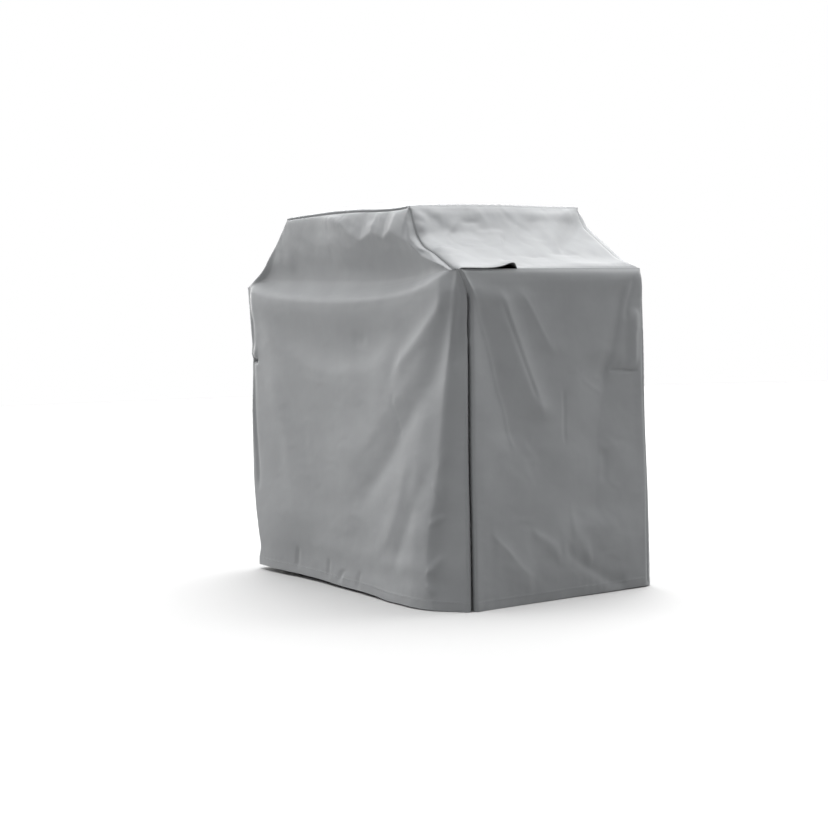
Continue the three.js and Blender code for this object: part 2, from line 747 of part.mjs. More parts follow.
// The soft ridge beside a corner seam, which runs into the seam at the shoulder.
function softRidge(corner, seam, level) {
  const rows = RIDGES[corner];
  const seamRows = CORNER_SEAMS[corner];
  const joining = smooth((level - 0.93) / 0.07);
  const x = mix(read(rows, "h", "x", level), seam.x - Math.sign(seam.x) * LIP, joining);
  const y = mix(read(rows, "h", "y", level), seamRows[seamRows.length - 1].y, joining);
  return new THREE.Vector3(x, y, seam.z);
}

// Straight pieces through points (t, value).
function straight(rows, key, name, t) {
  const last = rows.length - 1;
  if (t <= rows[0][key]) return rows[0][name];
  if (t >= rows[last][key]) return rows[last][name];
  let i = 0;
  while (t > rows[i + 1][key]) i += 1;
  return mix(rows[i][name], rows[i + 1][name], (t - rows[i][key]) / (rows[i + 1][key] - rows[i][key]));
}

// How far the front stands out under its seams: flat three-sided facets above the jagged edge, a soft fall below.
const UPPER_EDGE = [...HIP_SEAMS.front_left, ...[...HIP_SEAMS.front_right].reverse()];
function belly(x, z) {
  const edge = straight(BELLY, "x", "edge", x);
  const crest = straight(BELLY, "x", "crest", x);
  const fall = (height) => Math.exp(-((Math.max(0, crest - height) / BELLY_DROP) ** 1.3));
  const seam = straight(UPPER_EDGE, "x", "z", x);
  const drawn = fall(edge) * clamp01((seam - z) / Math.max(10, seam - edge));
  const ends = smooth((x + 70) / 70) * smooth((606 - x) / 110);
  return BELLY_OUT * ends * (z > edge ? drawn : fall(z));
}

// A point of a long wall. Column runs from -1 at the first corner seam over 0 and 1 at the two soft corner ridges
// to 2 at the last seam. Row is the share of the wall height up to 1, then 1 more than the share of the hips.
function longWallPoint(name, columnAt, row) {
  const { from, to, outward, folds, seed } = SIDES[name];
  const wall = row <= 1;
  const level = wall ? row : row - 1;
  const first = wall ? cornerSeam(from, level) : hipSeam(from, level);
  const last = wall ? cornerSeam(to, level) : hipSeam(to, level);
  const ridgeOf = (corner, seam) => {
    if (wall) return softRidge(corner, seam, level);
    const wrap = corner === "back_right" ? read(BACK_WRAP, "up", "out", level) : 0;
    return new THREE.Vector3(seam.x - Math.sign(seam.x) * LIP, seam.y + wrap, seam.z);
  };
  const ridges = [ridgeOf(from, first), ridgeOf(to, last)];
  const droop = wall ? (1 - Math.min(1, (level * 952) / 900)) ** 0.9 : 0;
  const flare = (x) => (wall ? read(HEM_FLARE[name], "x", "out", x) * droop : 0);
  const face = (t) => {
    const point = new THREE.Vector3().lerpVectors(ridges[0], ridges[1], t);
    const own = mix(flare(ridges[0].x), flare(ridges[1].x), t);
    point.y += outward * (flare(point.x) - own);
    return point;
  };
  const length = ridges[0].distanceTo(ridges[1]);
  const late = columnAt > 0.5;
  const ridge = ridges[late ? 1 : 0];
  const seam = late ? last : first;
  const turn = ridge.distanceTo(seam);
  const away = late ? columnAt - 1 : -columnAt; // below nothing on the face, above nothing on the turned strip
  const off = away * (away < 0 ? length : turn);
  const round = Math.min(RIDGE_BEND, 0.4 * turn);
  const faceAt = (mm) => face(late ? 1 - mm / length : mm / length);
  const turnAt = (mm) => new THREE.Vector3().lerpVectors(ridge, seam, mm / turn);
  let point = off < 0 ? faceAt(-off) : turnAt(off);
  if (Math.abs(off) < round) {
    const q = (off + round) / (2 * round);
    const before = faceAt(round).multiplyScalar((1 - q) ** 2);
    const after = turnAt(round).multiplyScalar(q ** 2);
    point = before.add(after).addScaledVector(ridge, 2 * q * (1 - q));
  }
  const across = (point.x - first.x) / (last.x - first.x);
  const share = name === "front" ? across : 1 - across;
  const sagging = wall ? smooth((level - 0.68) / 0.32) : smooth(1 - level / 0.62);
  const rowSag = ROW_SAG * Math.sin(Math.PI * clamp01(across)) * sagging;
  point.z = mix(first.z, last.z, across) + (wall ? 0 : read(TOP_SAG, "across", name, share) * level) - rowSag;

  const facing = new THREE.Vector3(0, outward, 0);
  if (wall) {
    const strip = new THREE.Vector3(Math.abs(seam.y - ridge.y), Math.abs(seam.x - ridge.x), 0).normalize();
    strip.set(strip.x * Math.sign(seam.x), strip.y * outward, 0);
    facing.lerp(strip, smooth(0.5 + off / (2 * round + 8))).normalize();
  }
  const under = wall ? Infinity : (1 - level) * 205;
  const edge = Math.min(point.distanceTo(first), point.distanceTo(last), under);
  const near = wall && (late ? to : from) === "front_right";
  let out = relief(edge, foldsAt(folds, point.x, point.z, seed));
  if (name === "front") out += belly(point.x, point.z) * offSeam(edge);
  if (near) out += groove(edge) * smooth((0.985 - level) / 0.05);
  const middle = smooth((level - 0.7) / 0.08) * smooth((0.985 - level) / 0.04);
  if (near && off > 0) out -= 9 * Math.sin(Math.PI * away) * middle;
  return point.addScaledVector(facing, out);
}

// A point of an end wall: across runs from corner seam to corner seam, h from hem to shoulder.
function endWallPoint(name, across, h) {
  const { from, to, outward, folds, seed } = SIDES[name];
  const first = cornerSeam(from, h);
  const last = cornerSeam(to, h);
  const point = new THREE.Vector3().lerpVectors(first, last, across);
  const edge = Math.min(point.distanceTo(first), point.distanceTo(last), (1 - h) * 950);
  const deep = from === "front_right" ? groove(point.distanceTo(first)) * smooth((0.985 - h) / 0.05) : 0;
  point.x += outward * (relief(edge, foldsAt(folds, point.y, point.z, seed)) + deep);
  return point;
}

// A point of an end slope: across runs from hip seam to hip seam, up from shoulder to top.
function slopePoint(name, across, up) {
  const { from, to, outward, slope, seed } = SIDES[name];
  const at = (level) => new THREE.Vector3().lerpVectors(hipSeam(from, level), hipSeam(to, level), across);
  const point = at(up);
  const share = name === "right" ? across : 1 - across;
  const run = at(Math.min(1, up + 0.03)).sub(at(Math.max(0, up - 0.03)));
  const facing = new THREE.Vector3(outward * run.z, 0, -outward * run.x).normalize();
  const edge = Math.min(across * 655, (1 - across) * 655, up * 330, (1 - up) * 330);
  const folds = foldsAt(slope, point.y, up * 340, seed + 4);
  point.z += read(TOP_SAG, "across", name, share) * up;
  const hipEdge = (distance) => 1 - Math.exp(-((distance / HIP_CURL_WIDTH) ** 2));
  const curl = HIP_CURL * smooth(up / 0.12) * smooth((1 - up) / 0.1) * hipEdge(across * 655) * hipEdge((1 - across) * 655);
  point.addScaledVector(facing, relief(edge, folds) + curl);
  if (name === "right") {
    const loose = 1 - smooth(up / 0.3);
    const place = mix(VENT_EDGE[0].y, -VENT_EDGE[0].y, across);
    point.z += loose * read(VENT_EDGE, "y", "lift", place);
    point.x += loose * read(VENT_EDGE, "y", "out", place);
  }
  return point;
}

// A point of the top panel, blended between its four seams and crowned.
function topPoint(across, depth) {
  const point = topSeam("front", across).multiplyScalar(1 - depth);
  point.addScaledVector(topSeam("back", across), depth);
  point.addScaledVector(topSeam("left", depth), 1 - across);
  point.addScaledVector(topSeam("right", depth), across);
  const corners = [
    [topSeam("front", 0), (1 - across) * (1 - depth)],
    [topSeam("front", 1), across * (1 - depth)],
    [topSeam("back", 0), (1 - across) * depth],
    [topSeam("back", 1), across * depth],
  ];
  corners.forEach(([corner, weight]) => point.addScaledVector(corner, -weight));
  const edge = Math.min(across * 700, (1 - across) * 700, depth * 632, (1 - depth) * 632);
  const crown = CROWN * read(CROWN_SHAPE, "across", "length", across) * read(CROWN_SHAPE, "across", "depth", depth);
  point.z += crown + relief(edge, foldsAt(TOP_FOLDS, point.x, point.y, 9));
  return point;
}

// Every panel as a grid of points, rows upwards (front to back on the top), columns so that the outside faces out.
const long = (name) => LONG_ROWS.map((row) => LONG_COLUMNS.map((columnAt) => longWallPoint(name, columnAt, row)));
const front = long("front");
const back = long("back");
const shareOf = (row) => row.map((point) => (point.x - row[0].x) / (row[row.length - 1].x - row[0].x));
const frontShares = shareOf(front[front.length - 1]);
const backShares = shareOf([...back[back.length - 1]].reverse());
const grids = {
  top_panel: END_COLUMNS.map((depth) =>
    LONG_COLUMNS.map((_, i) => topPoint(mix(frontShares[i], backShares[i], depth), depth)),
  ),
  front_panel: front,
  back_panel: back,
  end_wall_right: WALL_ROWS.map((h) => END_COLUMNS.map((across) => endWallPoint("right", across, h))),
  end_wall_left: WALL_ROWS.map((h) => LEFT_COLUMNS.map((across) => endWallPoint("left", across, h))),
  end_slope_right: [0, ...HIP_ROWS].map((up) => END_COLUMNS.map((across) => slopePoint("right", across, up))),
  end_slope_left: [0, ...HIP_ROWS].map((up) => LEFT_COLUMNS.map((across) => slopePoint("left", across, up))),
};

// Outward direction at each point of a grid, from its neighbours.
function facings(grid) {
  const within = (index, count) => Math.min(count - 1, Math.max(0, index));
  const pick = (i, j) => grid[within(i, grid.length)][within(j, grid[0].length)];
  return grid.map((row, i) =>
    row.map((_, j) => {
      const side = new THREE.Vector3().subVectors(pick(i, j + 1), pick(i, j - 1));
      const rise = new THREE.Vector3().subVectors(pick(i + 1, j), pick(i - 1, j));
      return side.cross(rise).normalize();
    }),
  );
}
const directions = Object.fromEntries(Object.entries(grids).map(([name, grid]) => [name, facings(grid)]));

// Panels that meet in a seam point share one inward direction there, so that their thicknesses meet in a mitre.
const rimPoints = [];
Object.entries(grids).forEach(([name, grid]) =>
  grid.forEach((row, i) =>
    row.forEach((point, j) => {
      const onRim = i === 0 || j === 0 || i === grid.length - 1 || j === row.length - 1;
      if (onRim) rimPoints.push({ point, facing: directions[name][i][j] });
    }),
  ),
);
const meetingAt = (point) =>
  rimPoints.filter((rim) => rim.point.distanceToSquared(point) < 0.01).map((rim) => rim.facing);
function inwardAt(point, own) {
  const all = meetingAt(point);
  if (!all.length) all.push(own);
  const sum = all.reduce((total, facing) => total.add(facing), new THREE.Vector3()).normalize();
  const least = Math.min(...all.map((facing) => facing.dot(sum)));
  return sum.multiplyScalar(-1 / Math.max(0.6, least));
}

// Closed sheet from a grid: the outside, the inside one cloth thickness in, and the rim between them.
function sheet(grid, facing, thicknessOf) {
  const rows = grid.length;
  const columns = grid[0].length;
  const outside = [];
  const inside = [];
  grid.forEach((row, i) =>
    row.forEach((point, j) => {
      const pull = new THREE.Vector3();
      if (j === 0) pull.add(row[1].clone().sub(point).normalize());
      if (j === columns - 1) pull.add(row[j - 1].clone().sub(point).normalize());
      if (i === 0) pull.add(grid[1][j].clone().sub(point).normalize());
      if (i === rows - 1) pull.add(grid[i - 1][j].clone().sub(point).normalize());
      const nearCorner = [point, grid[Math.min(rows - 1, i + 1)][j]].some((place) => meetingAt(place).length > 2);
      const outer = point.clone().addScaledVector(pull, SEAM_INSET * (nearCorner ? 3 : 1));
      outside.push(outer);
      inside.push(outer.clone().addScaledVector(inwardAt(point, facing[i][j]), thicknessOf(i)));
    }),
  );
  const points = [...outside, ...inside];
  const count = outside.length;
  const index = [];
  const quad = (a, b, c, d) => index.push(a, b, c, a, c, d);
  for (let i = 0; i < rows - 1; i += 1) {
    for (let j = 0; j < columns - 1; j += 1) {
      const a = i * columns + j;
      quad(a, a + 1, a + columns + 1, a + columns);
      quad(count + a, count + a + columns, count + a + columns + 1, count + a + 1);
    }
  }
  const rim = [];
  for (let j = 0; j < columns - 1; j += 1) rim.push(j);
  for (let i = 0; i < rows - 1; i += 1) rim.push(i * columns + columns - 1);
  for (let j = columns - 1; j > 0; j -= 1) rim.push((rows - 1) * columns + j);
  for (let i = rows - 1; i > 0; i -= 1) rim.push(i * columns);
  rim.forEach((a, k) => {
    const b = rim[(k + 1) % rim.length];
    quad(b, a, count + a, count + b);
  });
  const geometry = new THREE.BufferGeometry();
  geometry.setAttribute("position", new THREE.Float32BufferAttribute(points.flatMap((point) => point.toArray()), 3));
  geometry.setIndex(index);
  geometry.computeVertexNormals();
  return geometry;
}

const WITH_HEM = ["front_panel", "back_panel", "end_wall_right", "end_wall_left"];
const cloth = new THREE.MeshStandardMaterial({ color: 0x97999b, roughness: 0.55, metalness: 0 });
const group = new THREE.Group();
group.name = "patio_furniture_cover";
Object.entries(grids).forEach(([name, grid]) => {
  const thickness = (row) => (WITH_HEM.includes(name) && WALL_ROWS[row] <= HEM_WIDTH ? HEM_CLOTH : CLOTH);
  const mesh = new THREE.Mesh(sheet(grid, directions[name], thickness), cloth.clone());
  mesh.name = name;
  group.add(mesh);
});
// The origin lies under the middle of the top panel, where the cover is carried.
group.position.z = -(topPoint(0.5, 0.5).z - CLOTH);

export default group;
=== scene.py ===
"""A fitted patio furniture cover hanging in its folds: seven sewn panels of coated polyester.

The tables give millimetres, with z counted from the ground. The finished meshes are in metres in the part's
own frame, whose origin lies under the middle of the top panel.
"""
import math
from collections import namedtuple

import bpy
import numpy as np
from mathutils import Matrix, Vector


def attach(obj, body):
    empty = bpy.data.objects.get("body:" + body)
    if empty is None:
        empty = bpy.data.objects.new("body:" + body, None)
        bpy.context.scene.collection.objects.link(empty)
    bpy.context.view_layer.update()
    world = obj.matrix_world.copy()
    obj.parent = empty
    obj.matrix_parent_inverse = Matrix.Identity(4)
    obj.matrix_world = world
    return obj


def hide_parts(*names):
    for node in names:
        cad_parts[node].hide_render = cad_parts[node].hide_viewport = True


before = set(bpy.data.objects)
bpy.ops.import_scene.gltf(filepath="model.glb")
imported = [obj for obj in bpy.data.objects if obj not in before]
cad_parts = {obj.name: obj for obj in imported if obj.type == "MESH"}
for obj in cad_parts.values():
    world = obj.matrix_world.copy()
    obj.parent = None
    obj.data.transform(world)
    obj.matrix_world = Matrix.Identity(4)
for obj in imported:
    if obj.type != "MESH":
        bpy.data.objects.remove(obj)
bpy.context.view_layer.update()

GROUND = -1.17345  # the ground in the part's frame, in metres
CLOTH = 2.0  # sheet thickness
HEM_CLOTH = 3.4  # doubled cloth at the hem
HEM_TOP = 28.0  # where the hem ends
HEM_STEP = 0.3  # the hem stands out this far beyond the cloth above it
SEAM_INSET = 0.3  # each panel stops this far short of its seam line
PUFF = 3.5  # each panel swells this far beyond its seams
PUFF_WIDTH = 7.0
FOLD_FADE = 42.0  # folds die out this far from a seam
LIP = 8.0  # width of the turned edge above the shoulder
CROWN = 17.0  # rise of the top panel above its seams
ROW_SAG = 44.0  # the rows of the long walls sag with the roll between the shoulder corners
GROOVE_LIPS = 8.0  # the cloth stands out this far on both sides of the near corner groove
GROOVE_DEPTH = 26.0  # and the seam lies this deep in it
GROOVE_WIDTH = 2.0  # half width of the groove
GROOVE_TURN = 12.0  # both panels turn in towards each other within this distance of it
STRIP_HOLLOW = 9.0  # the turned strip beside it is this hollow near the shoulder
RIDGE_BEND = 8.0  # the long walls turn at their corner ridges within this distance on both sides
WALL_HEIGHT = 952.0  # hem to shoulder
CORNER_LENGTH = 950.0  # length of a corner seam
SHOULDER_RISE = 205.0  # shoulder to top seam, upright
HIP_LENGTH = 330.0
SLOPE_RISE, SLOPE_WIDTH = 340.0, 655.0  # the end slopes, from shoulder to top and from hip seam to hip seam
TOP_LENGTH, TOP_DEPTH = 700.0, 632.0
DROOP_HEIGHT = 900.0  # the walls hang out towards the hem from this height down
HIP_CURL = 6.0  # the slopes fall off this much towards their hip seams
HIP_CURL_WIDTH = 15.0
# How far the seams lie in, and half their width. The hip seam at the back right is deeper and wider.
SEAM_DEPTHS = {"top": 7.0, "side top": 1.0, "hip": 4.5, "back_right": 8.0, "corner": 2.5}
SEAM_WIDTHS = {"hip": 2.8, "back_right": 3.8}
# Outward directions that two panels share at a seam: sideways and up at the hips, up at the top.
HIP_OUT, HIP_UP, TOP_UP = 0.6, 0.8, 0.6
STITCH_LENGTH, STITCH_PITCH, STITCH_MARGIN, THREAD_RADIUS = 4.0, 6.0, 12.0, 0.42
SEAM_MEETS = 0.02  # points on two rims belong together if the square of their distance is below this
SHARP_ANGLE = 62  # faces that meet at more degrees than this show an edge
SENSOR, PHOTO_WIDTH = 36, 828  # of the camera in millimetres, of the photo in pixels
SUN_SPREAD, SUN_DISTANCE = 60, 4  # degrees, metres
FLOOR_SIDES, FLOOR_HOLE, FLOOR_RADIUS = 96, 0.001, 14  # the radii in metres


# Small tools for tables and smooth curves.


def table(columns, *rows):
    """A short table as arrays, one for each named column."""
    return dict(zip(columns.split(), np.array(rows, float).T))


def clamp01(t):
    """t kept between 0 and 1."""
    return np.clip(t, 0.0, 1.0)


def mix(a, b, t):
    """From a to b by the share t."""
    return a + (b - a) * t


def smooth(t):
    """From 0 to 1 with level ends: three t squared minus two t cubed."""
    t = clamp01(t)
    return t * t * (3 - 2 * t)


def curve(ts, vs, t):
    """Smooth curve through points (t, value): cubic pieces whose slopes are the mean of the neighbouring
    chords."""
    ts, vs, t = np.asarray(ts, float), np.asarray(vs, float), np.asarray(t, float)
    chords = np.diff(vs) / np.diff(ts)
    slopes = np.concatenate([chords[:1], (chords[1:] + chords[:-1]) / 2, chords[-1:]])
    i = np.clip(np.searchsorted(ts, t, side="right") - 1, 0, len(ts) - 2)
    span = ts[i + 1] - ts[i]
    s = clamp01((t - ts[i]) / span)
    return (
        (2 * s**3 - 3 * s**2 + 1) * vs[i]
        + (s**3 - 2 * s**2 + s) * span * slopes[i]
        + (3 * s**2 - 2 * s**3) * vs[i + 1]
        + (s**3 - s**2) * span * slopes[i + 1]
    )


def bell(t):
    """A bell curve: one at nothing, and e to minus t squared."""
    return np.exp(-(t**2))


def read(rows, column, at):
    """The smooth curve through a column of a table, by its first column."""
    first = next(iter(rows))
    return curve(rows[first], rows[column], at)


def unit(v):
    """Vectors of length one along the last axis."""
    return v / np.maximum(np.linalg.norm(v, axis=-1, keepdims=True), 1e-9)


def vectors(x, y, z):
    """Points or directions from their three parts."""
    return np.stack(np.broadcast_arrays(x, y, z), -1)


def length_of(v):
    """Lengths of vectors along the last axis."""
    return np.linalg.norm(v, axis=-1)


# The seam lines. Corner seams, hem to shoulder: z from the ground, and where the seam runs.
CORNER_SEAMS = {
    "front_right": table(
        "z x y",
        (0, 620, -319), (120, 617, -315), (265, 615, -312), (410, 613, -309), (560, 611, -304),
        (700, 609, -299), (800, 609, -298), (880, 611, -298), (925, 614, -314), (954, 615, -330),
    ),
    "back_right": table(
        "z x y",
        (3, 612, 330), (150, 618, 326), (330, 620, 328), (520, 617, 326), (700, 618, 325), (850, 620, 327),
        (925, 620, 328), (950, 611, 327),
    ),
    "back_left": table(
        "z x y",
        (12, -607, 322), (170, -612, 318), (380, -610, 312), (600, -606, 309), (790, -608, 306),
        (890, -612, 312), (946, -615, 329),
    ),
    "front_left": table(
        "z x y",
        (22, -606, -304), (70, -598, -302), (190, -612, -303), (400, -618, -302), (600, -611, -304),
        (700, -604, -306), (800, -608, -306), (890, -614, -314), (940, -616, -328),
    ),
}
# Hip seams, shoulder to top corner: up is the share of the way.
HIP_SEAMS = {
    "front_right": table(
        "up x y z",
        (0, 615, -330, 954), (0.1, 587, -329, 955), (0.25, 542, -328, 977), (0.42, 488, -326, 1004),
        (0.58, 441, -325, 1023), (0.7, 407, -323, 1050), (0.82, 386, -322, 1086), (0.92, 369, -319, 1117),
        (1, 356, -316, 1144),
    ),
    "back_right": table(
        "up x y z",
        (0, 611, 327, 950), (0.12, 585, 318, 960), (0.28, 546, 302, 978), (0.46, 494, 299, 1013),
        (0.64, 442, 299, 1047), (0.82, 391, 300, 1083), (0.93, 358, 309, 1122), (1, 342, 316, 1147),
    ),
    "back_left": table(
        "up x y z",
        (0, -615, 329, 946), (0.14, -580, 328, 957), (0.34, -520, 326, 984), (0.56, -462, 324, 1024),
        (0.78, -404, 321, 1084), (1, -352, 316, 1149),
    ),
    "front_left": table(
        "up x y z",
        (0, -616, -328, 940), (0.14, -574, -327, 961), (0.33, -517, -325, 992), (0.52, -472, -324, 1031),
        (0.72, -424, -322, 1072), (0.87, -387, -319, 1113), (1, -353, -316, 1153),
    ),
}
# Soft vertical ridges beside the corner seams of the two long walls: share of the wall height, x, y.
RIDGES = {
    "front_right": table(
        "h x y",
        (0, 534, -388), (0.03, 526, -388), (0.075, 511, -387), (0.115, 509, -385), (0.16, 504, -381),
        (0.22, 511, -377), (0.275, 518, -372), (0.32, 531, -368), (0.42, 543, -361), (0.505, 551, -355),
        (0.62, 563, -348), (0.74, 575, -340), (0.83, 588, -335), (0.92, 602, -331), (1, 607, -331),
    ),
    "back_right": table(
        "h x y",
        (0, 596, 347), (0.2, 604, 341), (0.5, 602, 336), (0.8, 607, 334), (1, 603, 328),
    ),
    "back_left": table(
        "h x y",
        (0, -538, 378), (0.22, -548, 366), (0.48, -560, 350), (0.75, -580, 338), (1, -607, 330),
    ),
    "front_left": table(
        "h x y",
        (0, -586, -332), (0.03, -589, -330), (0.065, -578, -331), (0.12, -588, -332), (0.2, -601, -332),
        (0.32, -611, -330), (0.45, -612, -329), (0.6, -607, -329), (0.72, -597, -330), (0.78, -594, -330),
        (0.86, -600, -329), (1, -608, -329),
    ),
}
# How far each long wall hangs out at its hem, by x.
HEM_FLARE = {
    "front": table(
        "x out",
        (-640, 0), (-560, 8), (-480, 12), (-400, 12), (-298, 11), (-180, 16), (-35, 27), (102, 39),
        (207, 51), (308, 63), (398, 70), (454, 73), (524, 58), (640, 0),
    ),
    "back": table(
        "x out",
        (-640, 0), (-538, 46), (-460, 60), (-330, 44), (-190, 22), (-40, 34), (110, 12), (260, 28),
        (400, 16), (520, 24), (640, 0),
    ),
}
# How far the front hem lies above the straight line between its corners, or below it where negative.
HEM_LIFT = table(
    "x lift",
    (-640, -6), (-560, -5), (-440, -5), (-290, -4), (-90, -3), (0, -3), (200, 0), (300, -2), (390, 0),
    (640, 0),
)
# The back panel wraps over the edge of the right slope before it turns down: share of the hip, how far.
BACK_WRAP = table("up out", (0, 0), (0.08, 7), (0.25, 25), (0.5, 28), (0.8, 24), (0.94, 9), (1, 0))
# Sag of the four top seams, by share of the way along X or Y.
TOP_SAG = table(
    "across front back right left",
    (0, 0, 0, 0, 0), (0.22, 3, 2, 4, 3), (0.4, 4.5, 5, 5, 5), (0.6, 2.3, 4, 4, 6), (0.75, -2.3, 1, 1, 4),
    (0.9, -3.5, -1, 0, 2), (1, 0, 0, 0, 0),
)
# Crown of the top panel, as shares of its rise.
CROWN_SHAPE = table(
    "across length depth",
    (0, 0, 0), (0.06, 0.25, 0.4), (0.16, 0.6, 0.85), (0.32, 0.95, 1), (0.45, 1, 1), (0.6, 0.85, 1),
    (0.75, 0.55, 0.85), (0.9, 0.2, 0.5), (1, 0, 0),
)
# Loose edge of the right slope over the end wall beside the near corner: y, how far it lifts and stands out.
VENT_EDGE = table(
    "y lift out",
    (-330, 0, 0), (-322, 3.2, 3), (-300, 3.4, 4), (-215, 4, 5), (-180, 9, 6), (-150, 17, 7), (-138, 15, 6),
    (-126, 0, 0),
)


def rows_of(kind, *rows):
    """A list of one kind of thing, from rows of their values."""
    return [kind(*row) for row in rows]


# The folds. Each runs along its line, which goes along the panel or down it, and stands out by out, or dips
# in where that is negative. Its width is before on the side of lower x, y or height, and after on the other.
# keen 1 gives a sharp crest, 0 a round one, less a flat one and 2 straight flanks, for both flanks or for
# each. fade softens the ends. The points of a line are x or y, then the height, and on the top x, then y.
Fold = namedtuple("Fold", "name way out before after keen fade line")
FRONT_FOLDS = rows_of(
    Fold,
    ("hollow above the roll", "along", -17, 30, 88, (0.5, 0), 60, [(-604, 958), (-547, 964), (-380, 957),
     (-187, 947), (0, 939), (193, 935), (381, 941), (500, 948), (606, 957)]),
    ("roll at shoulder height", "along", 21, 100, 30, (0, 0.2), 60, [(-606, 940), (-550, 922), (-350, 893),
     (-200, 883), (-38, 877), (193, 876), (380, 889), (500, 914), (606, 952)]),
    ("second swag", "along", 8, 110, 44, 0, 130, [(-560, 850), (-428, 765), (-305, 706), (-147, 662),
     (7, 652), (106, 656), (202, 672), (340, 735)]),
    ("second swag by the near corner", "along", 8, 34, 26, (0.3, 0.2), 70, [(290, 660), (352, 696),
     (428, 750), (498, 800), (556, 850), (592, 896), (608, 944)]),
    ("drop right of the swag", "down", 4, 75, 38, (0, 0.2), 130, [(0, 330), (100, 420), (200, 500),
     (275, 556), (352, 612), (420, 672), (478, 742), (538, 832), (588, 910)]),
    ("diagonal valley", "down", -7, 42, 44, (0.2, 0), 120, [(60, 230), (150, 300), (230, 370), (300, 430),
     (350, 490), (396, 540), (452, 590), (504, 650), (541, 715), (573, 800), (597, 890)]),
    ("band beside the corner ridge", "down", 4, 32, 18, 0, 90, [(528, 10), (513, 70), (509, 108), (505, 150),
     (516, 261), (530, 303), (543, 396), (551, 480), (564, 592), (575, 703), (590, 786), (603, 868)]),
    ("short crease", "down", -2.4, 12, 4, 0.8, 30, [(352, 470), (343, 508), (333, 536), (313, 568),
     (311, 612)]),
    ("lower ridge", "down", 4, 40, 26, (0.1, 0.3), 80, [(205, 105), (270, 165), (318, 232), (352, 290),
     (385, 390), (398, 450)]),
    ("lower valley", "down", -4, 26, 34, 0.1, 80, [(335, 70), (355, 150), (390, 215), (430, 280), (470, 345),
     (500, 420)]),
    ("left light band", "down", 5, 55, 90, 0, 120, [(-238, 100), (-268, 148), (-315, 261), (-350, 371),
     (-372, 500), (-414, 590), (-470, 720)]),
    ("left edge hollow", "down", -6, 9, 15, 0.2, 60, [(-570, 260), (-578, 360), (-590, 540), (-592, 640),
     (-588, 710), (-585, 800), (-592, 880)]),
    ("gap under the left flap", "along", -15, 6, 6, (-0.6, -2), 6, [(-598, 700), (-588, 699), (-568, 698),
     (-548, 698)]),
    ("left flap", "along", 6, 9, 24, (0.2, 0), 14, [(-606, 722), (-586, 720), (-548, 716)]),
    ("slanting swell", "down", 4, 60, 75, 0, 50, [(62, 965), (40, 985), (-20, 1040), (-90, 1105)]),
    ("slack at the left", "along", 5, 34, 60, (0.4, 0), 60, [(-600, 1010), (-480, 1014), (-400, 1016),
     (-290, 1006)]),
    ("dent at the hem", "down", -3, 9, 12, 0.2, 30, [(-322, 20), (-320, 60), (-312, 110)]),
    ("second dent at the hem", "down", -3, 11, 9, 0.2, 26, [(-108, 10), (-104, 50), (-96, 92)]),
    ("third dent at the hem", "down", -2.5, 13, 10, 0.2, 22, [(-34, 10), (-14, 44), (12, 66)]),
    ("fourth dent at the hem", "down", -2.5, 12, 12, 0.2, 22, [(96, 0), (100, 34), (112, 74)]),
    ("dent in the swag", "along", -2, 20, 22, 0, 30, [(60, 770), (105, 760), (160, 766)]),
)
BACK_FOLDS = rows_of(
    Fold,
    ("hollow above the roll", "along", -11, 28, 88, (0.5, 0), 190, [(-600, 960), (-380, 952), (-120, 936),
     (140, 940), (380, 956), (600, 966)]),
    ("roll at shoulder height", "along", 10, 100, 28, 0, 120, [(-606, 946), (-400, 906), (-160, 886),
     (120, 890), (360, 912), (600, 946)]),
    ("second swag", "along", 6, 90, 42, 0, 120, [(-590, 930), (-430, 812), (-240, 742), (0, 720), (260, 760),
     (480, 850)]),
    ("drop from the corner", "along", 6, 34, 50, (0.4, 0), 90, [(-600, 948), (-470, 850), (-380, 790),
     (-250, 715), (-120, 680)]),
    ("diagonal valley", "down", -7, 44, 36, (0, 0.2), 140, [(-70, 300), (-210, 480), (-330, 620),
     (-430, 740), (-540, 880)]),
    ("long soft ridge", "down", 6, 60, 34, (0, 0.3), 150, [(-20, 30), (10, 220), (40, 420), (90, 620)]),
    ("long soft valley", "down", -6, 34, 60, (0.2, 0), 140, [(150, 20), (170, 240), (220, 460), (330, 680),
     (470, 840)]),
    ("right ridge", "down", 6, 26, 60, (0.4, 0), 120, [(330, 10), (350, 200), (400, 420), (470, 640)]),
    ("left hem ridge", "down", 5, 24, 44, (0.4, 0), 90, [(-330, 10), (-350, 160), (-390, 330)]),
    ("left hem valley", "down", -5, 36, 24, 0.2, 90, [(-430, 0), (-448, 150), (-480, 330)]),
    ("belly under the top seam", "along", 8, 60, 60, (0.5, 0.1), 60, [(-420, 1030), (-330, 1062),
     (-250, 1088), (-160, 1070), (-60, 1100), (60, 1118)]),
    ("short crease", "down", -2.2, 5, 12, 0.8, 36, [(250, 520), (262, 570), (258, 630)]),
    ("dent at the hem", "down", -3, 11, 9, 0.2, 30, [(60, 10), (66, 60), (80, 110)]),
)
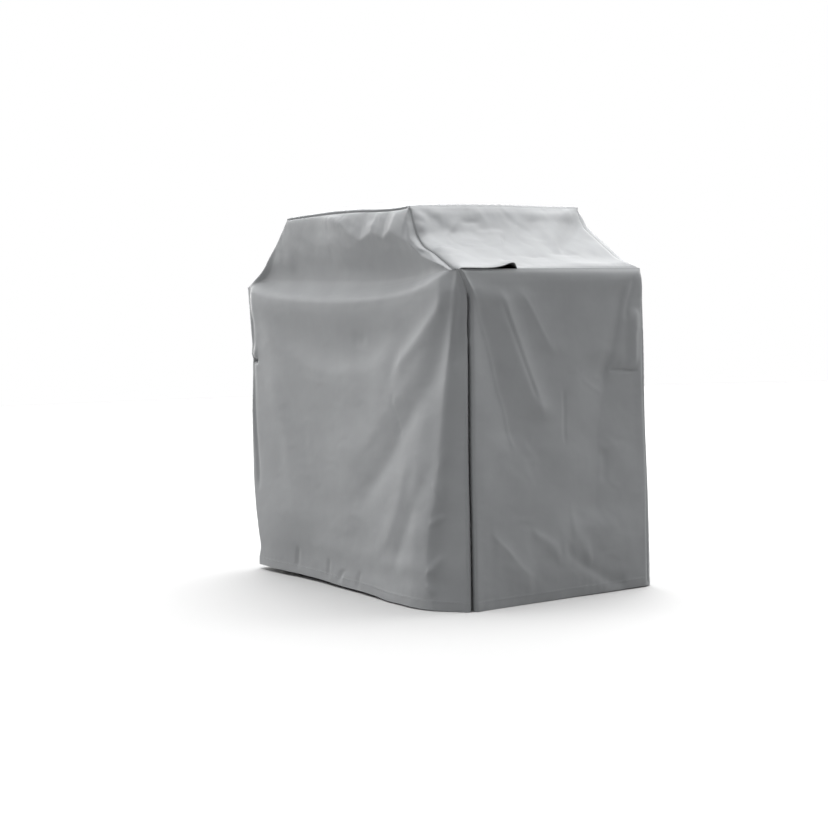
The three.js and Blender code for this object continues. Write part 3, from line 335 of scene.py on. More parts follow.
RIGHT_END_FOLDS = rows_of(
    Fold,
    ("trough beside the near corner", "down", -7, 44, 50, (0.6, 0.7), 70, [(-150, 430), (-168, 469),
     (-188, 561), (-206, 614), (-226, 699), (-249, 774), (-264, 816), (-284, 890)]),
    ("pinch along the trough", "down", 2.1, 3.4, 3.4, 0.8, 40, [(-150, 430), (-168, 469), (-188, 561),
     (-206, 614), (-226, 699), (-249, 774), (-264, 816), (-284, 890)]),
    ("ridge from the near corner", "down", 10, 52, 30, (0.7, 0.7), 60, [(-40, 505), (-56, 547), (-74, 586),
     (-96, 636), (-114, 683), (-131, 729), (-146, 767), (-164, 815), (-182, 866), (-215, 915)]),
    ("crease before the ridge", "down", -3.4, 9, 3, (0.2, 0.6), 50, [(-62, 560), (-80, 600), (-102, 655),
     (-122, 706), (-139, 749), (-154, 784), (-172, 825), (-192, 870)]),
    ("third ridge", "down", 4, 34, 26, (0.5, 0.8), 50, [(12, 690), (-12, 718), (-32, 745), (-57, 789),
     (-89, 843), (-121, 888), (-147, 915)]),
    ("pinch on the third ridge", "down", 1.0, 3, 4, 0.6, 30, [(-20, 728), (-57, 789), (-89, 843),
     (-121, 888)]),
    ("short upright crease", "down", -2.6, 4, 5, 0.5, 30, [(27, 440), (24, 468), (25, 549), (24, 608)]),
    ("slanted crease", "along", 1.3, 6, 4, 0.6, 16, [(92, 634), (133, 609), (178, 586)]),
    ("second slanted crease", "along", 1.2, 5, 4, 0.6, 10, [(136, 636), (155, 633), (176, 628)]),
    ("level crease", "along", 0.8, 4, 4, 0.5, 10, [(40, 655), (60, 658), (84, 656)]),
    ("soft upright valley", "down", -12, 84, 78, (0.1, 0.9), 80, [(136, 190), (140, 314), (152, 396),
     (152, 476), (170, 558), (186, 629), (196, 680), (208, 720)]),
    ("upper end of the valley", "down", -6, 32, 12, (0, 0.7), 60, [(176, 590), (195, 672), (219, 748),
     (236, 825), (252, 885), (284, 928)]),
    ("pleat beside the valley", "down", -3, 9, 9, 0.5, 26, [(259, 790), (265, 835), (281, 879), (301, 934)]),
    ("flap at the back", "down", 9, 34, 30, 2, 56, [(292, 636), (293, 700), (293, 760), (299, 846)]),
    ("wedge beside the flap", "down", 4, 7, 12, (0.8, 0.3), 16, [(299, 756), (305, 792), (301, 828)]),
    ("tuck below the flap", "along", -4.5, 3, 10, (0.2, 0.5), 12, [(200, 653), (230, 652), (270, 650),
     (310, 648)]),
    ("roll over the tuck", "along", 2, 6, 20, (0.3, 0), 16, [(226, 664), (262, 670), (290, 662)]),
    ("small diagonal", "down", 2.4, 8, 8, 0.5, 14, [(320, 602), (313, 640), (292, 662)]),
    ("lower ridge", "along", 3, 50, 13, (0.3, 0.8), 34, [(-258, 228), (-229, 193), (-191, 159), (-166, 128),
     (-139, 99), (-95, 68)]),
    ("pinch on the lower ridge", "along", 0.9, 4, 3, 0.5, 20, [(-252, 218), (-229, 192), (-191, 158),
     (-160, 122)]),
    ("short ridge", "along", 3, 20, 14, (0.5, 0.1), 26, [(-112, 206), (-95, 196), (-54, 172), (-21, 146),
     (4, 120)]),
    ("third lower ridge", "along", 2.6, 20, 22, (0.2, 0.2), 24, [(30, 232), (50, 192), (64, 172), (91, 138),
     (120, 100)]),
    ("lower valley", "along", -3, 14, 20, (0.3, 0.1), 26, [(10, 150), (24, 135), (61, 104), (117, 70),
     (188, 30), (250, 16)]),
    ("dent at the right", "down", -2.4, 12, 14, 0, 26, [(170, 320), (173, 380), (171, 430)]),
    ("near edge swell", "down", 1.5, 30, 50, 0, 140, [(-256, 20), (-250, 250), (-246, 480), (-256, 640)]),
)
LEFT_END_FOLDS = rows_of(
    Fold,
    ("ridge from the front corner", "down", 5, 56, 30, (0.7, 0.5), 70, [(-90, 420), (-130, 580), (-176, 740),
     (-240, 900)]),
    ("trough beside the front corner", "down", -3, 40, 40, 0.6, 70, [(-170, 400), (-206, 580), (-246, 740),
     (-296, 900)]),
    ("ridge from the back corner", "down", 6, 28, 50, (0.5, 0.7), 70, [(130, 380), (178, 560), (232, 730),
     (290, 900)]),
    ("middle valley", "down", -6, 40, 46, (0.1, 0.3), 120, [(20, 120), (0, 340), (-30, 560), (-60, 800)]),
    ("hem ridge", "down", 4, 30, 40, (0.5, 0), 90, [(-110, 0), (-100, 130), (-70, 290)]),
    ("hem ridge at the back", "down", 4, 24, 42, (0.5, 0), 80, [(150, 0), (140, 120), (110, 260)]),
    ("slack under the shoulder", "along", -4, 40, 26, 0, 90, [(-260, 860), (-60, 836), (140, 842),
     (270, 872)]),
    ("lower diagonal", "along", 3, 40, 14, (0.3, 0.8), 34, [(90, 60), (150, 110), (210, 180), (262, 250)]),
    ("short crease", "down", -2, 5, 5, 0.5, 30, [(60, 470), (64, 540), (60, 610)]),
)
# On the slopes: y, then millimetres up the slope.
RIGHT_SLOPE_FOLDS = rows_of(
    Fold,
    ("hollow across the slope", "along", -4, 90, 78, 0, 120, [(-320, 150), (-160, 146), (0, 136), (160, 130),
     (320, 124)]),
    ("facet by the front seam", "down", 4, 16, 50, (0.7, 0.1), 40, [(-322, 90), (-325, 150), (-314, 206),
     (-302, 242), (-304, 280), (-318, 336)]),
    ("fold from the front corner", "along", -4, 34, 20, (0.2, 0.6), 40, [(-302, 348), (-275, 317),
     (-245, 292), (-215, 258), (-180, 210)]),
    ("curved ridge to the shoulder corner", "down", 3, 44, 26, (0, 0.5), 50, [(-268, 50), (-251, 107),
     (-245, 148), (-249, 192), (-264, 235)]),
    ("ridge below the back corner", "along", 9, 32, 60, (2, 0), 40, [(78, 142), (102, 168), (135, 212),
     (168, 253), (212, 296), (262, 334), (300, 356)]),
    ("valley below the back corner", "along", -6, 26, 32, (0.8, 2), 40, [(96, 122), (139, 160), (184, 196),
     (232, 232), (276, 278), (312, 318)]),
    ("step under the top seam", "along", 1.6, 30, 20, (0.3, 0), 34, [(50, 312), (100, 322), (160, 314),
     (230, 322)]),
)
LEFT_SLOPE_FOLDS = rows_of(
    Fold,
    ("hollow across the slope", "along", -9, 78, 78, 0, 120, [(-320, 150), (0, 170), (320, 156)]),
    ("ridge below the front corner", "along", 6, 24, 50, (0.4, 0), 50, [(-304, 344), (-240, 290),
     (-160, 210), (-90, 140)]),
    ("valley below the front corner", "along", -6, 44, 26, (0, 0.4), 50, [(-326, 318), (-260, 258),
     (-190, 180), (-110, 102)]),
    ("middle ripple", "along", 4, 26, 20, (0.6, 0.2), 40, [(-60, 218), (20, 245), (110, 224)]),
    ("lower ripple", "along", -3, 21, 21, 0.4, 40, [(40, 82), (130, 102), (220, 88)]),
    ("fold from the back corner", "along", -5, 26, 20, (0.2, 0.6), 40, [(170, 230), (215, 262), (250, 300),
     (300, 346)]),
)
TOP_FOLDS = rows_of(
    Fold,
    ("soft ridge from the left front", "along", 4, 60, 40, (0, 0.4), 120, [(-340, -300), (-150, -180),
     (60, -110), (240, -60)]),
    ("dip in the middle", "along", -5, 70, 80, 0, 120, [(-200, 60), (0, 40), (220, 80)]),
    ("crease from the right front", "down", 3, 26, 44, (0.6, 0), 60, [(330, -300), (250, -180), (190, -60)]),
    ("crease from the back", "down", 3, 40, 22, (0, 0.6), 60, [(-90, 60), (-140, 180), (-170, 300)]),
)
# Short straight creases: where the middle lies, length, turn from level in degrees, how far it stands out,
# and its widths below it and above it.
Crease = namedtuple("Crease", "a b length turn out before after")
SLOPE_CREASES = rows_of(
    Crease,
    (-154, 207, 74, -5, 1.5, 7, 10), (-168, 139, 42, 0, 1.4, 6, 9), (-186, 172, 40, -22, 1.3, 6, 8),
    (-54, 208, 76, 60, 2.6, 5, 30), (-76, 242, 84, -4, 1.6, 22, 8), (-95, 180, 60, -3, 1.2, 8, 16),
    (-127, 284, 62, 0, -2.0, 12, 8), (115, 286, 66, 2, -0.8, 14, 7), (222, 284, 90, 4, -0.6, 12, 8),
    (5, 100, 64, 0, -2.0, 8, 12), (113, 119, 110, 1, -2.2, 8, 14), (-60, 109, 90, -6, -1.4, 9, 12),
    (-290, 140, 92, -16, 1.6, 22, 6), (-290, 96, 56, 0, 1.2, 10, 10), (-200, 262, 110, 40, 1.8, 12, 20),
    (30, 262, 88, 66, 1.6, 18, 8), (-240, 210, 70, 74, 1.5, 20, 8), (60, 196, 90, -24, 1.2, 16, 10),
    (250, 150, 80, 52, 1.6, 12, 26), (-10, 56, 120, 3, 0.9, 16, 16),
)
# The belly of the front under its top and hip seams: by x the height of its jagged edge, above which the
# cloth is drawn straight to the seam, and of its crest, below which it falls away softly.
BELLY = table(
    "x edge crest",
    (-180, 1147, 1147), (-70, 1142, 1136), (8, 1118, 1118), (60, 1086, 1104), (125, 1058, 1090),
    (192, 1080, 1084), (254, 1058, 1080), (300, 1080, 1077), (334, 1062, 1072), (384, 1044, 1050),
    (414, 1020, 1032), (447, 998, 1010), (505, 980, 986), (566, 962, 965),
)
BELLY_OUT, BELLY_DROP = 25.0, 74.0
# Small three-cornered pleats on the near corner ridge.
RIDGE_CREASES = rows_of(
    Crease,
    (529, 256, 44, 42, 4.5, 12, 5), (522, 128, 60, 56, 5.0, 14, 5), (514, 60, 36, -50, 2.5, 6, 10),
    (548, 420, 60, 78, 2.0, 10, 5), (532, 338, 44, -62, 2.5, 6, 8),
)
# From the end of the near corner seam to the shoulder corner.
CORNER_LINE = Crease(-302, 914, 92, 116, 4.0, 5, 4)
Side = namedtuple("Side", "first last outward folds slope seed")
SIDES = {
    "front": Side("front_left", "front_right", -1, FRONT_FOLDS, None, 1),
    "back": Side("back_right", "back_left", 1, BACK_FOLDS, None, 2),
    "right": Side("front_right", "back_right", 1, RIGHT_END_FOLDS, RIGHT_SLOPE_FOLDS, 3),
    "left": Side("back_left", "front_left", -1, LEFT_END_FOLDS, LEFT_SLOPE_FOLDS, 4),
}


def fold_height(fold, across, up):
    """Height of one fold: out times a bell of the distance to its line, or a tent, fading at both ends of
    the line."""
    down = fold.way == "down"
    along, side = (up, across) if down else (across, up)
    line = np.array(fold.line, float)
    ts, vs = (line[:, 1], line[:, 0]) if down else (line[:, 0], line[:, 1])
    slope = (curve(ts, vs, along + 2) - curve(ts, vs, along - 2)) / 4
    off = (side - curve(ts, vs, along)) / np.hypot(1, slope)
    half = np.where(off < 0, fold.before, fold.after)
    keen = np.where(off < 0, *np.broadcast_to(fold.keen, 2))
    ends = smooth((along - ts[0]) / fold.fade) * smooth((ts[-1] - along) / fold.fade)
    away = np.abs(off / half)
    bell = np.exp(-(away ** np.maximum(0.2, 2 - 0.9 * keen)))
    return fold.out * np.where(keen > 1.5, clamp01(1 - away), bell) * ends


def upper_edge(x):
    """Height of the top and hip seams of the front panel by x."""
    left, right = HIP_SEAMS["front_left"], HIP_SEAMS["front_right"]
    return np.interp(x, [*left["x"], *right["x"][::-1]], [*left["z"], *right["z"][::-1]])


def belly(x, z):
    """How far the front stands out under its seams: flat three-sided facets above the jagged edge, a soft
    fall below."""
    edge = np.interp(x, BELLY["x"], BELLY["edge"])
    crest = np.interp(x, BELLY["x"], BELLY["crest"])

    def fall(height):
        return np.exp(-(np.maximum(0, crest - height) / BELLY_DROP) ** 1.3)

    seam = upper_edge(x)
    drawn = fall(edge) * clamp01((seam - z) / np.maximum(10, seam - edge))
    ends = smooth((x + 180) / 240) * smooth((606 - x) / 110)
    return BELLY_OUT * ends * np.where(z > edge, drawn, fall(z))


def unevenness(a, b, seed):
    """Three crossing sine waves, one to two millimetres high in all."""
    return (
        0.9 * np.sin(a / 61 + 1.7 * seed + 0.8 * np.sin(b / 97 + seed))
        + 0.7 * np.sin(b / 73 - a / 118 + 2.3 * seed)
        + 0.5 * np.sin(a / 29 + b / 41 + 3.1 * seed)
    )


def folds_height(folds, across, up, seed):
    """The heights of a panel's folds, added to its unevenness."""
    return sum((fold_height(fold, across, up) for fold in folds), unevenness(across, up, seed))


def crumple(a, b, cell, seed):
    """Flat three-sided facets with keen edges, as in stiff crumpled cloth, from about minus a half to a
    half. The points of a bent square net have chance heights, each square is cut in two, and each half is a
    flat facet."""
    u = a / cell + 0.33 * np.sin(b / cell * 1.9 + seed) + 0.17 * np.sin(a / cell * 2.7 + 2 * seed)
    v = b / cell + 0.33 * np.sin(a / cell * 1.6 + 3 * seed) + 0.17 * np.sin(b / cell * 3.1 + seed)
    i, j = np.floor(u), np.floor(v)
    s, t = u - i, v - j

    def height(di, dj):
        value = np.sin((i + di) * 127.1 + (j + dj) * 311.7 + seed * 17.3) * 43758.5453
        return value - np.floor(value) - 0.5

    lower = height(0, 0) * (1 - s - t) + height(1, 0) * s + height(0, 1) * t
    upper = height(1, 1) * (s + t - 1) + height(0, 1) * (1 - s) + height(1, 0) * (1 - t)
    return np.where(s + t < 1, lower, upper)


def crease_height(crease, a, b):
    """One short straight crease: out times a bell of the distance to it, fading at both ends."""
    turn = math.radians(crease.turn)
    along = (a - crease.a) * math.cos(turn) + (b - crease.b) * math.sin(turn)
    off = (b - crease.b) * math.cos(turn) - (a - crease.a) * math.sin(turn)
    half = np.where(off < 0, crease.before, crease.after)
    return crease.out * np.exp(-(np.abs(off / half) ** 1.25) - (2 * along / crease.length) ** 4)


def relief(edge, folds):
    """Swell and folds both fall to nothing at a seam that lies edge millimetres away."""
    return PUFF * (1 - bell(edge / PUFF_WIDTH)) + folds * smooth(edge / FOLD_FADE)


def puckers(edge, along, seed, height=1.3, reach=26.0):
    """Small gathers beside a seam: uneven waves along it, 15 to 30 mm long, that die out away from it."""
    waves = np.sin(along / 3.1 + 2.1 * np.sin(along / 23.0 + seed) + seed)
    waves = waves + 0.6 * np.sin(along / 5.3 + 1.7 * seed)
    strength = 0.55 + 0.45 * np.sin(along / 47.0 + 2.9 * seed)
    return height * waves * strength * np.exp(-edge / reach) * (1 - bell(edge / 4.0))


def seam_dip(edge, along, length, depth, width=SEAM_WIDTHS["hip"]):
    """How deep the cloth turns in at a seam: a narrow bell of the distance, nothing at the two ends of the
    seam."""
    return depth * bell(edge / width) * smooth(along / 18) * smooth((length - along) / 18)


def hip_dip(corner, edge, up):
    """How deep the cloth turns in at a hip seam, at a distance from it and a share of its length."""
    depth, width = (values.get(corner, values["hip"]) for values in (SEAM_DEPTHS, SEAM_WIDTHS))
    return seam_dip(edge, up * HIP_LENGTH, HIP_LENGTH, depth, width)


def edge_distance(across, width, up, height):
    """Distance to the nearest side of a panel, from two shares and its two lengths."""
    return np.minimum(np.minimum(across, 1 - across) * width, np.minimum(up, 1 - up) * height)


def wall_outward(corner):
    """Outward direction of the long wall that a corner belongs to."""
    return [0, -1 if corner.startswith("front") else 1, 0]


def turned_in(dip, *outwards):
    """The way in by dip, in the one direction that panels with these outward directions share at their
    seam."""
    return dip[..., None] * -unit(np.sum(np.array(outwards, float), 0))


# The panels, as points of two parameters.


def corner_seam(corner, h):
    """Point of a corner seam at the share h of its height."""
    rows = CORNER_SEAMS[corner]
    z = mix(rows["z"][0], rows["z"][-1], h)
    return vectors(read(rows, "x", z), read(rows, "y", z), z)


def hip_seam(corner, up):
    """Point of a hip seam at the share up of its length."""
    rows = HIP_SEAMS[corner]
    return vectors(*(read(rows, part, up) for part in "xyz"))


def top_seam(side, across):
    """Straight from corner to corner, with its sag."""
    first, last = {
        "front": ("front_left", "front_right"), "back": ("back_left", "back_right"),
        "right": ("front_right", "back_right"), "left": ("front_left", "back_left"),
    }[side]
    across = np.asarray(across, float)
    point = mix(hip_seam(first, 1.0), hip_seam(last, 1.0), across[..., None])
    point[..., 2] += read(TOP_SAG, side, across)
    return point


def near_groove(edge, level):
    """The near corner seam lies deep between two lips: how far the cloth stands out, and how deep it turns
    in."""
    on = smooth((0.985 - level) / 0.05)
    lips = GROOVE_LIPS * (1 - bell(edge / 5)) * bell(edge / 60) * on
    closed = 1 - 0.55 * bell((level - 0.79) / 0.012)
    deep = GROOVE_DEPTH * bell(edge / (GROOVE_WIDTH * closed)) * smooth((0.935 - level) / 0.03)
    return lips, deep


def soft_ridge(corner, seam, level):
    """The soft ridge beside a corner seam, which runs into the seam at the shoulder."""
    rows = RIDGES[corner]
    joining = smooth((level - 0.93) / 0.07)
    x = mix(read(rows, "x", level), seam[..., 0] - np.sign(seam[..., 0]) * LIP, joining)
    y = mix(read(rows, "y", level), CORNER_SEAMS[corner]["y"][-1], joining)
    return vectors(x, y, seam[..., 2])


def strip_outward(seam, ridge, outward):
    """Outward direction of a long wall's turned strip, between its soft ridge and the corner seam."""
    turned_by = np.abs(seam - ridge)
    return unit(vectors(np.sign(seam[..., 0]) * turned_by[..., 1], outward * turned_by[..., 0], 0))


def long_wall(name, column, row):
    """A point of a long wall. Column runs from -1 at the first corner seam over 0 and 1 at the two soft
    corner ridges to 2 at the last seam. Row is the share of the wall height up to 1, then 1 more than the
    share of the hips."""
    side = SIDES[name]
    column, row = np.broadcast_arrays(column, row)
    wall = row <= 1
    level = np.where(wall, row, row - 1)
    wall3 = wall[..., None]
    first = np.where(wall3, corner_seam(side.first, level), hip_seam(side.first, level))
    last = np.where(wall3, corner_seam(side.last, level), hip_seam(side.last, level))

    def ridge_of(corner, seam):
        lip = seam - vectors(np.sign(seam[..., 0]) * LIP, 0, 0)
        if corner == "back_right":
            lip[..., 1] += np.where(wall, 0, read(BACK_WRAP, "out", level))
        return np.where(wall3, soft_ridge(corner, seam, level), lip)

    ridges = ridge_of(side.first, first), ridge_of(side.last, last)
    droop = np.where(wall, (1 - np.minimum(1, level * WALL_HEIGHT / DROOP_HEIGHT)) ** 0.9, 0)

    def flare(x):
        return read(HEM_FLARE[name], "out", x) * droop

    def face(t):
        point = mix(ridges[0], ridges[1], t[..., None])
        own = mix(flare(ridges[0][..., 0]), flare(ridges[1][..., 0]), t)
        point[..., 1] += side.outward * (flare(point[..., 0]) - own)
        return point

    width = length_of(ridges[0] - ridges[1])
    late = column > 0.5
    ridge = np.where(late[..., None], ridges[1], ridges[0])
    seam = np.where(late[..., None], last, first)
    turn = length_of(ridge - seam)
    # away is below nothing on the face and above nothing on the turned strip
    away = np.where(late, column - 1, -column)
    off = away * np.where(away < 0, width, turn)
    bend = np.minimum(RIDGE_BEND, 0.4 * turn)

    def face_at(mm):
        return face(np.where(late, 1 - mm / width, mm / width))

    def turn_at(mm):
        return mix(ridge, seam, (mm / turn)[..., None])

    q = ((off + bend) / (2 * bend))[..., None]
    rounded = face_at(bend) * (1 - q) ** 2 + turn_at(bend) * q**2 + ridge * 2 * q * (1 - q)
    point = np.where((off < 0)[..., None], face_at(np.maximum(0, -off)), turn_at(np.maximum(0, off)))
    point = np.where((np.abs(off) < bend)[..., None], rounded, point)
    across = (point[..., 0] - first[..., 0]) / (last[..., 0] - first[..., 0])
    share = across if name == "front" else 1 - across
    by_roll = np.where(wall, smooth((level - 0.68) / 0.32), smooth(1 - level / 0.62))
    row_sag = ROW_SAG * np.sin(np.pi * clamp01(across)) * by_roll
    top_sag = np.where(wall, 0, read(TOP_SAG, name, share) * level)
    point[..., 2] = mix(first[..., 2], last[..., 2], across) + top_sag - row_sag
    if name == "front":
        low = np.where(wall, 1 - level, 0) ** 2
        point[..., 2] += read(HEM_LIFT, "lift", point[..., 0]) * low

    flat = np.broadcast_to([0.0, side.outward, 0.0], point.shape)
    turned = smooth(0.5 + off / (2 * bend + 8))[..., None]
    facing = np.where(wall3, unit(mix(flat, strip_outward(seam, ridge, side.outward), turned)), flat)
    first_edge, last_edge = length_of(point - first), length_of(point - last)
    end_edge = np.minimum(first_edge, last_edge)
    edge = np.minimum(end_edge, np.where(wall, np.inf, (1 - level) * SHOULDER_RISE))
    near = wall & late if name == "front" else np.zeros_like(wall)
    by_shoulder = smooth((level - 0.7) / 0.08) * smooth((0.985 - level) / 0.04)
    in_turn = np.where(near & (off > 0), -STRIP_HOLLOW * np.sin(np.pi * clamp01(away)) * by_shoulder, 0)
    x, z = point[..., 0], point[..., 2]
    out = relief(edge, folds_height(side.folds, x, z, side.seed)) + in_turn
    if name == "front":
        out = out + belly(x, z) * (1 - bell(edge / PUFF_WIDTH))
    hip_edge = np.where(wall, np.hypot(end_edge, WALL_HEIGHT - z), edge)
    out = out + fine_long(name, x, z, edge, hip_edge, wall, level * WALL_HEIGHT)
    lips, deep = near_groove(edge, level)
    out = out + np.where(near, lips, 0)
    made = point + facing * out[..., None]
    between = unit(facing + np.array([1.0, 0, 0]) * bell(edge / GROOVE_TURN)[..., None])
    made = made - between * np.where(near, deep, 0)[..., None]
    flat_out = [0, side.outward, 0]
    for corner, seam_edge in ((side.first, first_edge), (side.last, last_edge)):
        sign = 1 if corner.endswith("right") else -1
        at_hip = np.where(wall, 0, hip_dip(corner, seam_edge, level))
        depth = 0 if corner == "front_right" else SEAM_DEPTHS["corner"]
        at_corner = np.where(wall, seam_dip(seam_edge, level * CORNER_LENGTH, CORNER_LENGTH, depth), 0)
        made = made + turned_in(at_hip, flat_out, [HIP_OUT * sign, 0, HIP_UP])
        made = made + turned_in(at_corner, flat_out, [sign, 0, 0])
    top_dip = seam_dip((1 - level) * SHOULDER_RISE, across * TOP_LENGTH, TOP_LENGTH, SEAM_DEPTHS["top"])
    return made + turned_in(np.where(wall, 0, top_dip), flat_out, [0, 0, TOP_UP])


def end_wall(name, across, h):
    """A point of an end wall: across runs from corner seam to corner seam, h from hem to shoulder."""
    side = SIDES[name]
    across, h = np.broadcast_arrays(across, h)
    first, last = corner_seam(side.first, h), corner_seam(side.last, h)
    point = mix(first, last, across[..., None])
    near_edge, far_edge = length_of(point - first), length_of(point - last)
    edge = np.minimum(np.minimum(near_edge, far_edge), (1 - h) * CORNER_LENGTH)
    y, z = point[..., 1], point[..., 2]
    out = relief(edge, folds_height(side.folds, y, z, side.seed)) + fine_end(name, y, z, edge, h)
    point = point.copy()
    if name == "right":
        lips, deep = near_groove(near_edge, h)
        out = out + lips
        strip = strip_outward(first, soft_ridge(side.first, first, h), -1)
        between = unit(np.array([1.0, 0, 0]) + strip * bell(near_edge / GROOVE_TURN)[..., None])
        point -= between * deep[..., None]
    point[..., 0] += side.outward * out
    for corner, seam_edge in ((side.first, near_edge), (side.last, far_edge)):
        if corner != "front_right":
            dip = seam_dip(seam_edge, h * CORNER_LENGTH, CORNER_LENGTH, SEAM_DEPTHS["corner"])
            point += turned_in(dip, wall_outward(corner), [side.outward, 0, 0])
    return point


def slope(name, across, up):
    """A point of an end slope: across runs from hip seam to hip seam, up from shoulder to top."""
    side = SIDES[name]
    across, up = np.broadcast_arrays(across, up)

    def at(level):
        return mix(hip_seam(side.first, level), hip_seam(side.last, level), across[..., None])

    point = at(up)
    share = across if name == "right" else 1 - across
    run = at(np.minimum(1, up + 0.03)) - at(np.maximum(0, up - 0.03))
    facing = unit(vectors(side.outward * run[..., 2], 0, -side.outward * run[..., 0]))
    edge = edge_distance(across, SLOPE_WIDTH, up, HIP_LENGTH)
    y, rise = point[..., 1], up * SLOPE_RISE
    folds = folds_height(side.slope, y, rise, side.seed + 4)
    hip_edges = across * SLOPE_WIDTH, (1 - across) * SLOPE_WIDTH
    out = relief(edge, folds) + fine_slope(name, y, rise, edge, across)
    # the cloth curls over towards the hip seams
    curl = HIP_CURL * smooth(up / 0.12) * smooth((1 - up) / 0.1)
    for hip_edge in hip_edges:
        curl = curl * (1 - bell(hip_edge / HIP_CURL_WIDTH))
    out = out + curl
    point = point.copy()
    point[..., 2] += read(TOP_SAG, name, share) * up
    point = point + facing * out[..., None]
    if name == "right":
        loose = 1 - smooth(up / 0.3)
        place = mix(VENT_EDGE["y"][0], -VENT_EDGE["y"][0], across)
        point[..., 2] += loose * read(VENT_EDGE, "lift", place)
        point[..., 0] += loose * read(VENT_EDGE, "out", place)
    for corner, hip_edge in zip((side.first, side.last), hip_edges):
        towards = [HIP_OUT * side.outward, 0, HIP_UP]
        point += turned_in(hip_dip(corner, hip_edge, up), wall_outward(corner), towards)
    dip = seam_dip((1 - up) * HIP_LENGTH, across * TOP_DEPTH, TOP_DEPTH, SEAM_DEPTHS["side top"])
    return point + turned_in(dip, [side.outward, 0, 0], [0, 0, TOP_UP])


def top(across, depth):
    """A point of the top panel, blended between its four seams and crowned."""
    across, depth = np.broadcast_arrays(across, depth)
    a, d = across[..., None], depth[..., None]
    point = top_seam("front", across) * (1 - d) + top_seam("back", across) * d
    point = point + top_seam("left", depth) * (1 - a) + top_seam("right", depth) * a
    point = point - top_seam("front", 0.0) * (1 - a) * (1 - d) - top_seam("front", 1.0) * a * (1 - d)
    point = point - top_seam("back", 0.0) * (1 - a) * d - top_seam("back", 1.0) * a * d
    edge = edge_distance(across, TOP_LENGTH, depth, TOP_DEPTH)
    crown = CROWN * read(CROWN_SHAPE, "length", across) * read(CROWN_SHAPE, "depth", depth)
    x, y = point[..., 0], point[..., 1]
    point[..., 2] += crown + relief(edge, folds_height(TOP_FOLDS, x, y, 9)) + fine_top(x, y, edge)
    for from_seam, along, length, kind, towards in (
        (depth * TOP_DEPTH, across, TOP_LENGTH, "top", [0, -1, 0]),
        ((1 - depth) * TOP_DEPTH, across, TOP_LENGTH, "top", [0, 1, 0]),
        (across * TOP_LENGTH, depth, TOP_DEPTH, "side top", [-1, 0, 0]),
        ((1 - across) * TOP_LENGTH, depth, TOP_DEPTH, "side top", [1, 0, 0]),
    ):
        dip = seam_dip(from_seam, along * length, length, SEAM_DEPTHS[kind])
        point += turned_in(dip, towards, [0, 0, TOP_UP])
    return point


# Small creases, gathers and crumpling that only show from near.


def hem_line(along, above, seed):
    """The doubled hem stands out a little below its stitching, which draws the cloth into small uneven
    gathers."""
    step = HEM_STEP * (1 - smooth((above - HEM_TOP + 1.5) / 3))
    strength = 0.5 + 0.5 * np.sin(along / 71.0 + 2 * seed)
    gathers = np.sin(along / 5.3 + 2.2 * np.sin(along / 37.0 + seed)) * strength
    return step + 0.25 * gathers * bell((above - HEM_TOP) / 20)


def patch(a, b, at, half_a, half_b):
    """One in the middle of a patch of cloth, nothing outside it: a bell in two directions."""
    return np.exp(-(((a - at[0]) / half_a) ** 2) - ((b - at[1]) / half_b) ** 2)


def fine_long(name, x, z, edge, hip_edge, wall, above):
    """A long wall's gathers, keen facets beside its hip seams, the pleats on the near ridge, crumpling of
    three kinds, and its hem line."""
    seed = SIDES[name].seed
    gathers = puckers(edge, np.where(wall, z, x), seed, 0.4)
    by_seam = (1 - bell(edge / 5)) * bell(hip_edge / 40) * ~wall
    facets = np.where(x > 0, 8.0, 2.0) * crumple(x + 0.5 * z, z, 29, seed + 1) * by_seam
    for crease in RIDGE_CREASES if name == "front" else ():
        facets = facets + crease_height(crease, x, z)
    upper = 3.0 * crumple(x + 0.4 * z, z, 66, seed) + 1.2 * crumple(x, z, 34, seed + 2)
    upper = smooth((z - 985) / 60) * upper
    small = 1.6 * crumple(x, z, 92, seed + 5) + 0.8 * crumple(x + z, z - x, 47, seed + 6)
    low = 1.8 * crumple(x, z + 0.3 * x, 58, seed + 4) * bell(z / 110)
    return gathers + facets + (upper + small + low) * smooth(edge / 30) + hem_line(x, above, seed) * wall


def fine_end(name, y, z, edge, h):
    """An end wall's gathers, even crumpling, three rumpled patches, and its hem line."""
    seed = SIDES[name].seed
    small = 1.6 * crumple(y, z, 84, seed + 5) + 0.8 * crumple(y + z, z - y, 43, seed + 6)
    turned = -1 if name == "left" else 1
    rumpled = patch(turned * y, z, (-125, 415), 80, 75) + 0.8 * patch(turned * y, z, (230, 380), 60, 160)
    rumpled = rumpled + 0.7 * patch(turned * y, z, (60, 120), 170, 90)
    facets = 3.0 * crumple(y, z + 0.4 * y, 36, seed + 7)
    corner_line = crease_height(CORNER_LINE, y, z) if name == "right" else 0
    folded = (small + facets * rumpled) * smooth(edge / 30)
    return puckers(edge, z, seed, 0.4) + folded + corner_line + hem_line(y, h * WALL_HEIGHT, seed)


